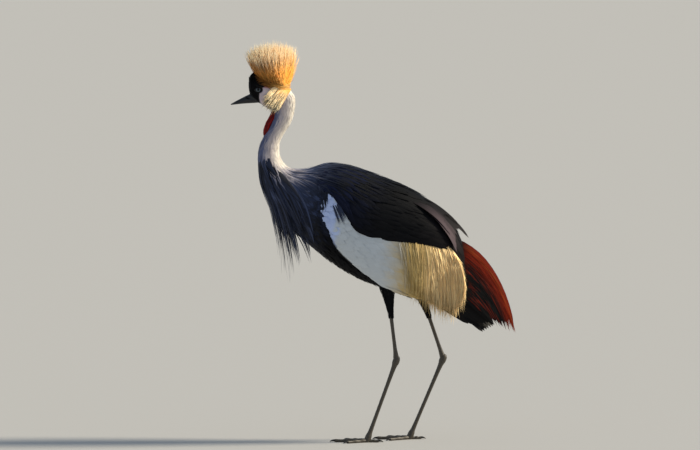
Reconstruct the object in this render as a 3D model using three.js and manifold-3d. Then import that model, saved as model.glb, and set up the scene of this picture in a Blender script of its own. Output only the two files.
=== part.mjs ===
// A grey crowned crane, life size, standing still as a museum shows it.
// Millimetres, +Z up. The bird faces -X and its left side is -Y. The origin is on the floor, below
// the middle of its length. The head, neck, torso, wings, tail, legs, toes and claws are separate
// solids that meet face to face. Feathers, plumes and crest bristles are blades and spines fused to
// the solid that they grow from.
import * as THREE from "three";
import { mergeVertices } from "three/addons/utils/BufferGeometryUtils.js";
import Module from "manifold-3d";

const wasm = await Module();
wasm.setup();
const { Manifold } = wasm;

// Sizes that drive the rest
const GAP = 0.3; // between two solids that meet
const FINE = 0.1; // slivers thinner than this are merged away after a cut
const RING = 20; // points round the neck and torso
const LEFT = -1;
const RIGHT = 1;

// The body from inside the head to the rump, one row a station:
// centre x, centre z, reach to the back, reach to the breast, half width
const BODY = [
  [-228, 884, 18, 18, 15],
  [-220, 858, 26, 27, 22],
  [-220.5, 830, 25, 24.5, 21],
  [-225, 807, 22.5, 22, 19.5],
  [-236, 784, 19.5, 19.5, 18],
  [-249, 761, 20, 21, 19],
  [-257, 737, 24, 25, 22.5],
  [-259, 712, 28, 27, 27],
  [-254, 685, 35, 30, 33],
  [-241, 655, 52, 37, 44],
  [-216, 622, 90, 46, 58],
  [-179, 592, 120, 60, 70],
  [-126, 562, 137, 72, 79],
  [-61, 527, 145, 86, 83],
  [6, 490, 142, 90, 79],
  [74, 450, 118, 78, 68],
  [139, 410, 80, 60, 50],
  [194, 375, 42, 38, 30],
  [239, 347, 10, 10, 8],
];
const NECK_SPLIT = 6.5; // station where the slim neck ends and the maned neck begins
const NECK_BASE = 10; // station where the neck meets the torso

// Shape helpers

const rad = THREE.MathUtils.degToRad;
const mix = THREE.MathUtils.lerp;
const vec = (x, y, z) => new THREE.Vector3(x, y, z);
const clamp01 = (x) => THREE.MathUtils.clamp(x, 0, 1);
const smooth = (low, high, x) => THREE.MathUtils.smoothstep(x, low, high);

// A number between 0 and 1 that looks random and is the same for the same seed.
function chance(seed) {
  const wave = Math.sin(seed * 127.1 + 311.7) * 43758.5453;
  return wave - Math.floor(wave);
}

// The row of numbers at station t, on a smooth curve through the rows.
function rowAt(rows, t) {
  const last = rows.length - 1;
  const i = THREE.MathUtils.clamp(Math.floor(t), 0, last - 1);
  const f = t - i;
  const row = (k) => rows[THREE.MathUtils.clamp(k, 0, last)];
  return rows[i].map((b, c) => {
    const a = row(i - 1)[c];
    const d = row(i + 1)[c];
    const e = row(i + 2)[c];
    return b + 0.5 * f * (d - a + f * (2 * a - 5 * b + 4 * d - e + f * (3 * (b - d) + e - a)));
  });
}

// A closed solid from rings of points. Rings of 4 are split alike on both faces, so thin blades
// never cross themselves. A ring of one point is a tip.
function solidFromRings(rings) {
  const points = rings.flat();
  const starts = [];
  let count = 0;
  for (const ring of rings) {
    starts.push(count);
    count += ring.length;
  }
  const faces = [];
  const fan = (ring, start, tip, turned) => {
    for (let k = 0; k < ring.length; k++) {
      const a = start + k;
      const b = start + ((k + 1) % ring.length);
      faces.push(...(turned ? [tip, b, a] : [tip, a, b]));
    }
  };
  for (let r = 0; r + 1 < rings.length; r++) {
    const [near, far] = [rings[r], rings[r + 1]];
    const [n, f] = [starts[r], starts[r + 1]];
    if (near.length === 1) fan(far, f, n, false);
    else if (far.length === 1) fan(near, n, f, true);
    else
      for (let k = 0; k < near.length; k++) {
        const k2 = (k + 1) % near.length;
        const even = near.length !== 4 || k % 2 === 0;
        if (even) faces.push(n + k, f + k2, n + k2, n + k, f + k, f + k2);
        else faces.push(n + k, f + k, n + k2, n + k2, f + k, f + k2);
      }
  }
  const cap = (ring, start, turned) => {
    for (let k = 1; k + 1 < ring.length; k++)
      faces.push(...(turned ? [start, start + k, start + k + 1] : [start, start + k + 1, start + k]));
  };
  if (rings[0].length > 1) cap(rings[0], starts[0], true);
  if (rings.at(-1).length > 1) cap(rings.at(-1), starts.at(-1), false);
  const geometry = new THREE.BufferGeometry().setFromPoints(points).setIndex(faces);
  const solid = solidOf(geometry);
  if (solid.volume() > 0) return solid;
  const turned = [];
  for (let i = 0; i < faces.length; i += 3) turned.push(faces[i], faces[i + 2], faces[i + 1]);
  return solidOf(geometry.setIndex(turned));
}

function solidOf(geometry) {
  const bare = geometry.clone();
  bare.deleteAttribute("normal");
  bare.deleteAttribute("uv");
  const merged = mergeVertices(bare, 1e-4);
  return new Manifold(
    new wasm.Mesh({
      numProp: 3,
      vertProperties: merged.attributes.position.array,
      triVerts: new Uint32Array(merged.index.array),
    }),
  );
}

// The largest closed surface of a solid. Scraps and sealed hollows go.
function largest(solid) {
  return solid.decompose().reduce((a, b) => (b.volume() > a.volume() ? b : a));
}

function join(solids) {
  return largest(Manifold.union(solids));
}

// What is left of a solid once its neighbours, each already grown by the gap, are taken out.
function fitted(solid, ...grownNeighbours) {
  return largest(grownNeighbours.reduce((rest, other) => rest.subtract(other), solid));
}

// A round limb: rows hold centre x, y, z, reach fore and aft, half width. Rings stand square to it.
function limb(rows, { around = 10, steps = rows.length * 2, grow = 0, fold = 0 } = {}) {
  const rings = [];
  for (let i = 0; i <= steps; i++) {
    const t = ((rows.length - 1) * i) / steps;
    const [x, y, z, reach, half] = rowAt(rows, t);
    const ahead = rowAt(rows, t + 0.02);
    const behind = rowAt(rows, t - 0.02);
    const along = vec(ahead[0] - behind[0], ahead[1] - behind[1], ahead[2] - behind[2]).normalize();
    const side = vec(0, 1, 0).addScaledVector(along, -along.y).normalize();
    const fore = new THREE.Vector3().crossVectors(side, along);
    rings.push(
      Array.from({ length: around }, (_, k) => {
        const turn = (2 * Math.PI * k) / around;
        const full = 1 - (k % 2 ? fold : 0);
        return vec(x, y, z)
          .addScaledVector(fore, (reach * full + grow) * Math.cos(turn))
          .addScaledVector(side, (half * full + grow) * Math.sin(turn));
      }),
    );
  }
  return solidFromRings(rings);
}

// A blade, such as a feather or a lock. Each row is a left edge, a middle, a right edge and an
// outward direction. The root is a flat cap and the tip a point.
function blade(rows, tip, thick, grow = 0) {
  const rings = rows.map(({ left, middle, right, out }, i) => {
    const outward = (edge) => edge.clone().sub(middle).normalize().multiplyScalar(2 * grow).add(edge);
    const rise = thick / 2 + grow;
    const back = i ? vec(0, 0, 0) : middle.clone().sub(rows[1].middle).normalize().multiplyScalar(grow);
    return [
      outward(left).add(back),
      middle.clone().addScaledVector(out, rise).add(back),
      outward(right).add(back),
      middle.clone().addScaledVector(out, -rise).add(back),
    ];
  });
  const last = rows.at(-1).middle;
  const reach = tip.clone().sub(last);
  return solidFromRings([...rings, [tip.clone().addScaledVector(reach.normalize(), grow)]]);
}

// A thin spine with three sides along a curve of points.
function spine(points, thick, grow = 0) {
  const along = points.at(-1).clone().sub(points[0]).normalize();
  const side = new THREE.Vector3().crossVectors(along, vec(0.31, 0.87, 0.37)).normalize();
  const other = new THREE.Vector3().crossVectors(along, side);
  const rings = points.slice(0, -1).map((p, i) => {
    const reach = (thick / 2) * mix(1, 0.5, i / (points.length - 1)) + grow;
    return [0, 1, 2].map((k) => {
      const turn = (2 * Math.PI * k) / 3;
      return p
        .clone()
        .addScaledVector(side, reach * Math.cos(turn))
        .addScaledVector(other, reach * Math.sin(turn));
    });
  });
  return solidFromRings([...rings, [points.at(-1).clone().addScaledVector(along, grow)]]);
}

// The body's surface. Turn 0 is the back, 90 the side and 180 the breast, in degrees.

function bodyFrame(t) {
  const [x, z, up, down, half] = rowAt(BODY, t);
  const ahead = rowAt(BODY, t + 0.02);
  const behind = rowAt(BODY, t - 0.02);
  const along = vec(ahead[0] - behind[0], 0, ahead[1] - behind[1]).normalize();
  return { centre: vec(x, 0, z), along, back: vec(-along.z, 0, along.x), up, down, half };
}

function bodyPoint(t, turn, side, lift = 0) {
  const { centre, back, up, down, half } = bodyFrame(t);
  const [c, s] = [Math.cos(rad(turn)), Math.sin(rad(turn))];
  const reach = c > 0 ? up : down;
  const normal = new THREE.Vector2(c / reach, s / half).normalize();
  return centre
    .addScaledVector(back, reach * c + lift * normal.x)
    .add(vec(0, side * (half * s + lift * normal.y), 0));
}

// A point under the skin, at a share of the way from the body's middle line.
function innerPoint(t, turn, side) {
  return bodyPoint(t, turn, side).lerp(bodyFrame(t).centre, 0.35);
}

// How far a point stands off the body, by the ring that it lies in.
function heightOver(point, from = 6) {
  let best = from;
  let least = Infinity;
  for (let t = from; t <= BODY.length - 1; t += 0.1) {
    const { centre, along } = bodyFrame(t);
    const off = point.clone().sub(centre);
    const miss = Math.abs(off.dot(along)) + 0.02 * off.length();
    if (miss < least) [least, best] = [miss, t];
  }
  const { centre, back, up, down, half } = bodyFrame(best);
  const off = point.clone().sub(centre);
  const d = off.dot(back);
  const share = Math.hypot(d / (d > 0 ? up : down), off.y / half);
  const outward = back.clone().multiplyScalar(d).add(vec(0, off.y, 0)).normalize();
  return { height: Math.hypot(d, off.y) * (1 - 1 / Math.max(share, 1e-6)), outward };
}

function bodyLoft(from, to, steps, grow = 0) {
  const rings = [];
  for (let i = 0; i <= steps; i++) {
    const t = mix(from, to, i / steps);
    rings.push(
      Array.from({ length: RING }, (_, k) => {
        const turn = (360 * k) / RING;
        return bodyPoint(t, turn > 180 ? 360 - turn : turn, turn > 180 ? LEFT : RIGHT, grow);
      }),
    );
  }
  return rings;
}

// Torso

function torso(grow = 0) {
  const lengthGrow = grow / 60;
  const rings = bodyLoft(NECK_BASE - lengthGrow, BODY.length - 1 + lengthGrow, 16, grow);
  return solidFromRings(rings);
}

// Feathers laid in tiers on a surface. surface(a, b) gives a point and its outward normal, with a
// running from root to tip and b across the tier.

const SINK = 3; // how deep a feather's root sits

function laidFeather(surface, across, spread, { thick = 1.5, rise = 5, roll = 1.5, steps = 5, grow = 0 }) {
  const rows = [];
  for (let i = 0; i < steps; i++) {
    const a = i / steps;
    const width = spread * Math.sqrt(mix(0.45, 1, Math.sin(Math.PI * Math.min(a * 0.9 + 0.12, 1))));
    const lift = mix(-SINK, rise, a ** 0.8);
    const middle = surface(a, across);
    const left = surface(a, across - width);
    const right = surface(a, across + width);
    rows.push({
      left: left.point.addScaledVector(left.out, lift - roll),
      middle: middle.point.addScaledVector(middle.out, lift),
      right: right.point.addScaledVector(right.out, lift + roll),
      out: middle.out,
    });
  }
  const end = surface(1, across);
  return blade(rows, end.point.addScaledVector(end.out, rise), thick, grow);
}

// Wings, folded against the flank. Rows start at station 11 of the body: feather depth on the
// back, depth on the side, and the turn of the lower edge in degrees.

const WING_ROWS = [
  [2, 5, 88],
  [5, 11, 104],
  [9, 14, 129],
  [22, 15, 142],
  [40, 17, 155],
  [52, 17, 148],
  [34, 8, 132],
];
const WING_FROM = 11.5; // station of the wrist
const WRIST_SLANT = 0.8; // stations by which the wing's front edge runs back on its way down
const WING_TO = 16.6;
const WING_EDGE = 14; // degrees over which the wing thins to nothing
const WING_SINK = 1.5; // how deep its thin edges run under the skin
const OVER = 4; // degrees by which it is drawn past the midline, before the cut there

function wingDepth(t, turn) {
  const [back, flank, low] = rowAt(WING_ROWS, t - 11);
  const share = Math.cos(rad(Math.min(turn, 90))) ** 2;
  const full = mix(flank, back, share);
  const front = WING_FROM + WRIST_SLANT * clamp01((turn - 70) / 38);
  const wrist = smooth(front, front + 0.6, t);
  const edge = clamp01((low - turn) / WING_EDGE);
  return full * Math.sqrt(edge) * Math.sqrt(wrist);
}

function wingSurface(t, turn, side) {
  const at = (u, v) => bodyPoint(u, v, side, wingDepth(u, v));
  const point = at(t, turn);
  const down = at(t, turn + 1).sub(point);
  const along = at(t + 0.02, turn).sub(point);
  const out = new THREE.Vector3().crossVectors(along, down).normalize();
  if (out.dot(point.clone().sub(bodyFrame(t).centre)) < 0) out.negate();
  return { point, out };
}

// The wing without feathers: a shell on the torso, whose inner part the torso takes away.
function wingCore(side, grow) {
  const rings = [];
  const steps = 10;
  const turns = 8;
  for (let i = 0; i <= steps; i++) {
    const t = mix(WING_FROM - 0.1, WING_TO, i / steps);
    const low = rowAt(WING_ROWS, t - 11)[2] + 6;
    const ring = [];
    for (let k = 0; k <= turns; k++) {
      const turn = mix(-OVER, low, k / turns);
      ring.push(bodyPoint(t, turn, side, wingDepth(t, turn) - WING_SINK + grow));
    }
    for (let k = turns; k >= 0; k -= 4) ring.push(innerPoint(t, mix(-OVER, low, k / turns), side));
    rings.push(ring);
  }
  return solidFromRings(rings);
}

// Straw plumes, chestnut secondaries and black primaries hang off the wing's hind end in fans.
// Each fan blends two bowed lines, each of a root, a bend and a tip.
function fanSurface(first, last, side) {
  const lines = [first, last].map((line) =>
    new THREE.QuadraticBezierCurve3(...line.map(([x, y, z]) => vec(x, side * y, z))),
  );
  const at = (a, b) => lines[0].getPoint(clamp01(a)).lerp(lines[1].getPoint(clamp01(a)), b);
  return (a, b) => {
    const point = at(a, b);
    const along = at(a + 0.01, b).sub(at(a - 0.01, b));
    const over = at(a, b + 0.01).sub(at(a, b - 0.01));
    const out = new THREE.Vector3().crossVectors(along, over).normalize();
    if (out.y * side < 0) out.negate();
    return { point, out };
  };
}

const SECONDARIES = {
  count: 7,
  first: [[120, 7, 522], [292, 12, 492], [362, 20, 280]],
  last: [[120, 46, 440], [222, 52, 396], [292, 42, 300]],
  spread: 0.105,
};
const PRIMARIES = {
  count: 3,
  first: [[96, 40, 440], [214, 44, 392], [300, 30, 292]],
  last: [[84, 54, 400], [176, 54, 356], [236, 42, 300]],
  spread: 0.3,
};
const PLUMES = {
  count: 8,
  first: [[92, 64, 470], [190, 82, 450], [236, 66, 356]],
  last: [[40, 80, 440], [98, 96, 420], [112, 74, 344]],
  spread: 0.084,
};

function fan({ count, first, last, spread }, side, options) {
  const surface = fanSurface(first, last, side);
  return Array.from({ length: count }, (_, i) => {
    const b = i / (count - 1);
    const short = 1 - 0.07 * chance(i + count);
    return laidFeather((a, c) => surface(a * short, c), b, spread, options);
  });
}

// White coverts lie on the flank in tiers that point back and down.
const COVERT_TIERS = [
  { t: 12.2, length: 1.4, turns: [92] },
  { t: 12.9, length: 1.5, turns: [98, 115] },
  { t: 13.6, length: 1.5, turns: [92, 109, 127] },
  { t: 14.4, length: 1.4, turns: [102, 120, 137] },
];
const COVERTS = { spread: 10, rise: 3.4, roll: 1.2, thick: 1.4, steps: 4 };

function coverts(side, grow) {
  const made = [];
  for (const { t, length, turns } of COVERT_TIERS)
    for (const turn of turns) {
      const surface = (a, b) => wingSurface(t + a * length, b - 5 * a, side);
      made.push(laidFeather(surface, turn, COVERTS.spread, { ...COVERTS, grow }));
    }
  return made;
}

function wing(side, grow = 0) {
  const made = join([
    wingCore(side, grow),
    ...coverts(side, grow),
    ...fan(PLUMES, side, { rise: 4, roll: 1.4, thick: 1.8, steps: 4, grow }),
    ...fan(SECONDARIES, side, { rise: 5, roll: 1.6, thick: 1.6, grow }),
    ...fan(PRIMARIES, side, { rise: 1, roll: 1.3, thick: 1.5, grow }),
  ]);
  const middle = GAP / 2 - grow;
  return largest(made.trimByPlane([0, side, 0], middle));
}

// Mantle: the black feathers of the back and shoulders, a saddle over both wings.

const MANTLE_FROM = NECK_BASE + 0.06;
const MANTLE_TO = 16.1;
const MANTLE_DEPTH = 6;

const MANTLE_EDGE = [[70], [80], [84], [84], [80], [72], [54], [42]]; // degrees, from station 10

function mantleEdge(t) {
  return rowAt(MANTLE_EDGE, t - 10)[0];
}

function mantleSurface(t, turn, side) {
  const turned = Math.abs(turn);
  const to = turn < 0 ? -side : side;
  const thin = Math.sqrt(clamp01((mantleEdge(t) - turned) / 24));
  const start = smooth(MANTLE_FROM - 0.5, MANTLE_FROM + 1, t);
  const lift = wingDepth(t, turned) + MANTLE_DEPTH * start * thin;
  const point = bodyPoint(t, turned, to, lift);
  const { back } = bodyFrame(t);
  const [c, s] = [Math.cos(rad(turned)), Math.sin(rad(turned))];
  const out = back.clone().multiplyScalar(c).add(vec(0, to * s, 0)).normalize();
  return { point, out };
}

function mantleCore(grow) {
  const rings = [];
  const steps = 10;
  const turns = 10;
  for (let i = 0; i <= steps; i++) {
    const t = mix(MANTLE_FROM - grow / 60, MANTLE_TO, i / steps);
    const edge = mantleEdge(t);
    const ring = [];
    for (let k = -turns / 2; k <= turns / 2; k++) {
      const turn = (edge * k) / (turns / 2);
      const { point, out } = mantleSurface(t, turn, RIGHT);
      const outermost = Math.abs(k) === turns / 2;
      ring.push(point.addScaledVector(out, outermost ? -3 : grow));
    }
    for (const turn of [edge, 0, -edge])
      ring.push(innerPoint(t, Math.abs(turn), turn < 0 ? LEFT : RIGHT));
    rings.push(ring);
  }
  return solidFromRings(rings);
}

const MANTLE_TIERS = [
  { t: 10.4, length: 1.6, count: 3, rise: 4 },
  { t: 11.5, length: 1.8, count: 5, rise: 5 },
  { t: 12.8, length: 2, count: 6, rise: 6 },
  { t: 14.2, length: 2.5, count: 6, rise: 8 },
];
const MANTLE_VANES = { roll: 1.5, thick: 1.6, steps: 4 };

function mantle(grow = 0) {
  const made = [mantleCore(grow)];
  MANTLE_TIERS.forEach(({ t, length, count, rise }, row) => {
    for (let i = 0; i < count; i++) {
      const place = (2 * (i + 0.5)) / count - 1;
      const reach = length * (1 - 0.1 * chance(i + 10 * row));
      const surface = (a, b) => {
        const u = t + a * reach;
        return mantleSurface(u, 0.93 * b * mantleEdge(u), RIGHT);
      };
      const roll = place < 0 ? -MANTLE_VANES.roll : MANTLE_VANES.roll;
      made.push(laidFeather(surface, place, 1.12 / count, { ...MANTLE_VANES, rise, roll, grow }));
    }
  });
  return join(made);
}

// Tail

const TAIL = {
  count: 5,
  first: [[176, 3, 392], [250, 5, 360], [302, 8, 288]],
  last: [[176, 22, 366], [232, 30, 328], [276, 34, 276]],
  spread: 0.2,
};

function tail(grow = 0) {
  const root = limb(
    [
      [172, 0, 392, 24, 18],
      [196, 0, 374, 22, 22],
      [222, 0, 354, 13, 20],
      [240, 0, 340, 4, 12],
    ],
    { grow, steps: 6 },
  );
  const options = { rise: 2, roll: 1.2, thick: 1.6, grow };
  return join([root, ...fan(TAIL, LEFT, options), ...fan(TAIL, RIGHT, options)]);
}

// Neck

function neckUpper() {
  return solidFromRings(bodyLoft(0, NECK_SPLIT - GAP / 25, 9));
}

// Plumes of the lower neck start along its skin and then hang down over the breast.
const PLUME_TIERS = [
  { t: 7.1, count: 7, spread: 150, length: 88 },
  { t: 7.9, count: 6, spread: 140, length: 116 },
  { t: 8.6, count: 6, spread: 122, length: 160 },
  { t: 9.2, count: 7, spread: 110, length: 200 },
  { t: 9.75, count: 4, spread: 92, length: 188 },
];
const PLUME_STEPS = 4;

function hangingPlume(t, turn, side, length, seed, grow) {
  const step = length / PLUME_STEPS;
  const point = bodyPoint(t, turn, side, -4);
  const next = bodyPoint(t + 0.2, turn, side, -1);
  const along = next.clone().sub(point).normalize();
  const back = mix(0.06, 0.3, clamp01((180 - turn) / 100)) + 0.1 * chance(seed);
  const sweep = vec(back, side * 0.1 * (chance(seed + 5) - 0.5), -1).normalize();
  const half = 6 + 2 * chance(seed + 9);
  const rows = [];
  let at = point;
  for (let i = 0; i < PLUME_STEPS; i++) {
    const { outward } = heightOver(at);
    const across = new THREE.Vector3().crossVectors(along, outward).normalize();
    const width = half * [0.8, 1, 0.9, 0.6][i];
    rows.push({
      left: at.clone().addScaledVector(across, -width),
      middle: at.clone(),
      right: at.clone().addScaledVector(across, width),
      out: outward.clone(),
    });
    at = at.clone().addScaledVector(along, step);
    const clear = 2 + 1.7 * i + 1.4 * chance(seed + 2);
    const { height, outward: away } = heightOver(at);
    if (height < clear) at.addScaledVector(away, clear - height);
    along.lerp(sweep, 0.42).normalize();
  }
  return blade(rows, at, 1.6, grow);
}

function neckLower() {
  const made = [solidFromRings(bodyLoft(NECK_SPLIT, NECK_BASE - GAP / 40, 7))];
  PLUME_TIERS.forEach(({ t, count, spread, length }, row) => {
    for (let i = 0; i < count; i++) {
      const place = (2 * (i + 0.5)) / count - 1;
      const turn = 180 - spread * Math.abs(place);
      const seed = i + 20 * row;
      const own = length * mix(1, 0.72, Math.abs(place)) * (0.86 + 0.2 * chance(seed));
      made.push(hangingPlume(t, turn, place < 0 ? LEFT : RIGHT, own, seed, 0));
    }
  });
  return join(made);
}

// Head, with rounded brow, lids and the sockets of the eyes. Rows along the head: x, top z,
// bottom z, half width.

const HEAD_ROWS = [
  [-309, 896, 884, 4],
  [-305, 909, 869, 12],
  [-297, 920, 858, 17.5],
  [-284, 928, 849, 22],
  [-268, 931, 839, 25.5],
  [-250, 930, 830, 26.5],
  [-234, 921, 830, 25],
  [-221, 905, 838, 21],
  [-212, 890, 850, 12],
  [-208, 876, 864, 4],
];
const EYE = { x: -285, z: 882, out: 16.4, ball: 8, opening: 6.3, lid: 1.4 };

function headCore(grow = 0) {
  const rings = [];
  const steps = 12;
  const last = HEAD_ROWS.length - 1;
  for (let i = 0; i <= steps; i++) {
    const [x, top, bottom, half] = rowAt(HEAD_ROWS, (last * i) / steps);
    const ends = ((i / steps) * 2 - 1) * grow;
    rings.push(
      Array.from({ length: 16 }, (_, k) => {
        const turn = (2 * Math.PI * k) / 16;
        return vec(
          x + ends,
          (half + grow) * Math.sin(turn),
          (top + bottom) / 2 + ((top - bottom) / 2 + grow) * Math.cos(turn),
        );
      }),
    );
  }
  return solidFromRings(rings);
}

function eyeball(side, grow = 0) {
  const ball = new THREE.SphereGeometry(EYE.ball + grow, 12, 7);
  return solidOf(ball.translate(EYE.x, side * EYE.out, EYE.z));
}

function lidRing(side) {
  const ring = new THREE.TorusGeometry(EYE.opening, EYE.lid, 4, 12);
  return solidOf(ring.rotateX(Math.PI / 2).translate(EYE.x, side * (EYE.out + 4.6), EYE.z));
}

function head() {
  const flesh = join([headCore(), lidRing(LEFT), lidRing(RIGHT)]);
  return fitted(flesh, eyeball(LEFT, GAP), eyeball(RIGHT, GAP));
}

// Bill: one tapering form, parted along the mouth line, with a nostril slot in each side.
// Rows: x, culmen z, lower edge z, half width.

const BILL_ROWS = [
  [-284, 878, 848.5, 10.5],
  [-298, 874, 847.5, 9.5],
  [-312, 867.5, 846.8, 7.6],
  [-328, 859.5, 845.6, 5.4],
  [-343, 851.5, 844, 3.3],
  [-351, 847, 843, 1.8],
  [-354.2, 844.9, 843.2, 0.6],
];
const MOUTH = { x: -354, z: 844.4, slope: 0.155 };
const NOSTRIL = { x: -317, z: 860.4, long: 5.5, high: 1.5 };

function billForm(grow = 0) {
  const rings = [];
  const steps = 9;
  const last = BILL_ROWS.length - 1;
  for (let i = 0; i <= steps; i++) {
    const [x, top, bottom, half] = rowAt(BILL_ROWS, (last * i) / steps);
    const middle = mix(bottom, top, 0.42);
    rings.push(
      Array.from({ length: 12 }, (_, k) => {
        const [c, s] = [Math.cos((2 * Math.PI * k) / 12), Math.sin((2 * Math.PI * k) / 12)];
        const reach = (c > 0 ? top - middle : middle - bottom) + grow;
        return vec(x - (grow * i) / steps, (half + grow) * s, middle + reach * c);
      }),
    );
  }
  return solidFromRings(rings);
}

function billPart(above) {
  const normal = vec(-MOUTH.slope, 0, 1).normalize().multiplyScalar(above ? 1 : -1);
  const level = normal.dot(vec(MOUTH.x, 0, MOUTH.z)) + GAP / 2;
  let part = billForm().trimByPlane(normal.toArray(), level);
  if (above)
    for (const side of [LEFT, RIGHT]) {
      const slot = new THREE.SphereGeometry(1, 8, 6).scale(NOSTRIL.long, 3, NOSTRIL.high);
      part = part.subtract(solidOf(slot.rotateY(-0.3).translate(NOSTRIL.x, side * 8, NOSTRIL.z)));
    }
  return fitted(part, headCore(GAP));
}

// Red throat wattle: a soft pouch with a crease down its middle and shallow folds.

const WATTLE_ROWS = [
  [-251, 0, 829, 5, 5],
  [-256, 0, 812, 9, 8],
  [-261, 0, 795, 11, 9.5],
  [-264, 0, 780, 10.5, 9.5],
  [-265, 0, 770, 7, 7],
  [-265, 0, 765, 2, 2],
];
const WATTLE_FOLD = 0.1; // depth of the folds, as a share of its thickness

function wattle() {
  return limb(WATTLE_ROWS, { around: 10, steps: 8, fold: WATTLE_FOLD });
}

// Crest: stiff bristles that fan from the back of the crown, out of a low dense core.

const CREST = {
  root: [-250, 0, 893],
  lean: 18, // degrees back from straight up
  open: 57, // half angle of the fan
  count: 92,
  long: 116,
  short: 86,
  thick: 2.6,
  core: [[0, -20], [22, -14], [38, 4], [46, 24], [34, 40], [0, 50]], // radius and height
};

function crestDirection(i) {
  const cosOpen = Math.cos(rad(CREST.open));
  const up = mix(1, cosOpen, (i + 0.5) / CREST.count);
  const round = Math.sqrt(1 - up * up);
  const turn = i * Math.PI * (3 - Math.sqrt(5));
  return vec(round * Math.cos(turn), 0.9 * round * Math.sin(turn), up)
    .applyAxisAngle(vec(0, 1, 0), rad(CREST.lean))
    .normalize();
}

function crest() {
  const root = vec(...CREST.root);
  const profile = CREST.core.map(([radius, height]) => new THREE.Vector2(Math.max(radius, 1e-6), height));
  const core = new THREE.LatheGeometry(profile, 12)
    .rotateX(Math.PI / 2)
    .rotateY(rad(CREST.lean))
    .translate(...CREST.root);
  const made = [solidOf(core)];
  for (let i = 0; i < CREST.count; i++) {
    const out = crestDirection(i);
    const full = mix(CREST.long, CREST.short, clamp01(out.x)) * (0.9 + 0.14 * chance(i));
    const bend = vec(chance(i + 3) - 0.5, chance(i + 7) - 0.5, -0.2).multiplyScalar(9);
    const points = [0.32, 0.68, 1].map((share) =>
      root.clone().addScaledVector(out, full * share).addScaledVector(bend, share * share),
    );
    made.push(spine(points, CREST.thick));
  }
  return join(made);
}

// Legs. Each row is a joint: x, y, z. The foot's ball stands on the floor.

const LEGS = {
  left: { side: LEFT, knee: [26, 34, 484], hock: [60, 40, 206], ball: [-12, 42, 8] },
  right: { side: RIGHT, knee: [86, 34, 474], hock: [178, 40, 204], ball: [95, 42, 8] },
};
const THIGH_END = 0.62; // share of the tibia that is feathered
const THIGH_GAP = 2; // between the thigh and the wing's thin lower edge
const TOE_PRESS = 0.84; // height of a toe's middle, as a share of its thickness, so that it lies flat
const TOES = [
  { name: "inner", turn: 34, length: 60, thick: 4.8 },
  { name: "middle", turn: -4, length: 82, thick: 5.2 },
  { name: "outer", turn: -40, length: 66, thick: 4.8 },
  { name: "hind", turn: 172, length: 27, thick: 4.4 },
];
const CLAW = 13;

const jointOf = ([x, y, z], side) => vec(x, side * y, z);

function alongBone(a, b, shares) {
  return shares.map(([share, reach, half]) => [...a.clone().lerp(b, share).toArray(), reach, half]);
}

function thigh({ side, knee, hock }) {
  const rows = alongBone(jointOf(knee, side), jointOf(hock, side), [
    [-0.06, 30, 20],
    [0.06, 36, 26],
    [0.22, 30, 23],
    [0.36, 19, 16],
    [0.5, 10, 9.5],
    [THIGH_END, 5.8, 5.6],
  ]);
  return limb(rows, { around: 10, steps: 8 });
}

function shank({ side, knee, hock }, grow = 0) {
  const rows = alongBone(jointOf(knee, side), jointOf(hock, side), [
    [THIGH_END + GAP / 280 - grow / 280, 4.8, 4.6],
    [0.75, 4.4, 4.2],
    [0.9, 5, 4.8],
    [0.965, 7, 6.6],
  ]);
  return limb(rows, { around: 8, steps: 4, grow });
}

function tarsus({ side, hock, ball }, grow = 0) {
  const top = jointOf(hock, side);
  const foot = jointOf(ball, side);
  const rows = alongBone(top, foot, [
    [-0.052, 4, 4],
    [-0.02, 8, 7.6],
    [0.03, 8.6, 8],
    [0.1, 6, 5.6],
    [0.3, 4.8, 4.4],
    [0.7, 4.6, 4.4],
    [0.9, 5.6, 5.8],
    [0.97, 8, 8],
    [1.08, 8, 8.5],
  ]);
  return largest(limb(rows, { around: 8, steps: 10, grow }).trimByPlane([0, 0, 1], -grow));
}

function toeLine({ side, ball }, { turn, length }) {
  const out = vec(-1, 0, 0).applyAxisAngle(vec(0, 0, 1), side * rad(turn));
  const root = jointOf(ball, side).setZ(0);
  return { root, out, tip: root.clone().addScaledVector(out, length) };
}

// A toe lies flat on the floor.
function toe(leg, sizes, grow = 0) {
  const { root, out } = toeLine(leg, sizes);
  const rows = [0, 0.22, 0.4, 0.6, 0.78, 1].map((share, i) => {
    const joint = i % 2 ? 1.12 : 0.94; // thick at each joint, thin between
    const thick = sizes.thick * mix(1, 0.74, share) * joint;
    const at = root.clone().addScaledVector(out, sizes.length * share);
    return [at.x, at.y, thick * TOE_PRESS, thick, thick];
  });
  return largest(limb(rows, { around: 6, steps: 5, grow }).trimByPlane([0, 0, 1], -grow));
}

function claw(leg, sizes) {
  const { tip, out } = toeLine(leg, sizes);
  const rows = [
    [-3, 3.2, 3.0],
    [3, 3.9, 2.7],
    [8, 3.3, 1.7],
    [CLAW, 1.4, 0.5],
  ].map(([far, high, reach]) => {
    const at = tip.clone().addScaledVector(out, far);
    return [at.x, at.y, high, reach, reach * 0.9];
  });
  return largest(limb(rows, { around: 5, steps: 3 }).trimByPlane([0, 0, 1], 0));
}

// Colours and finish, one for each kind of surface

const finish = (color, roughness) => new THREE.MeshStandardMaterial({ color, roughness, metalness: 0 });
const MATERIALS = {
  black: finish(0x17181f, 0.6),
  slate: finish(0x3a3d4a, 0.75),
  pearl: finish(0xb9b6bd, 0.8),
  white: finish(0xd8dad8, 0.7),
  gold: finish(0xd9a24a, 0.6),
  red: finish(0xa5121a, 0.45),
  horn: finish(0x1b1c1f, 0.4),
  leg: finish(0x26262b, 0.55),
  iris: finish(0xc9d3dc, 0.15),
};

// Put together

const bird = new THREE.Group();

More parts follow.
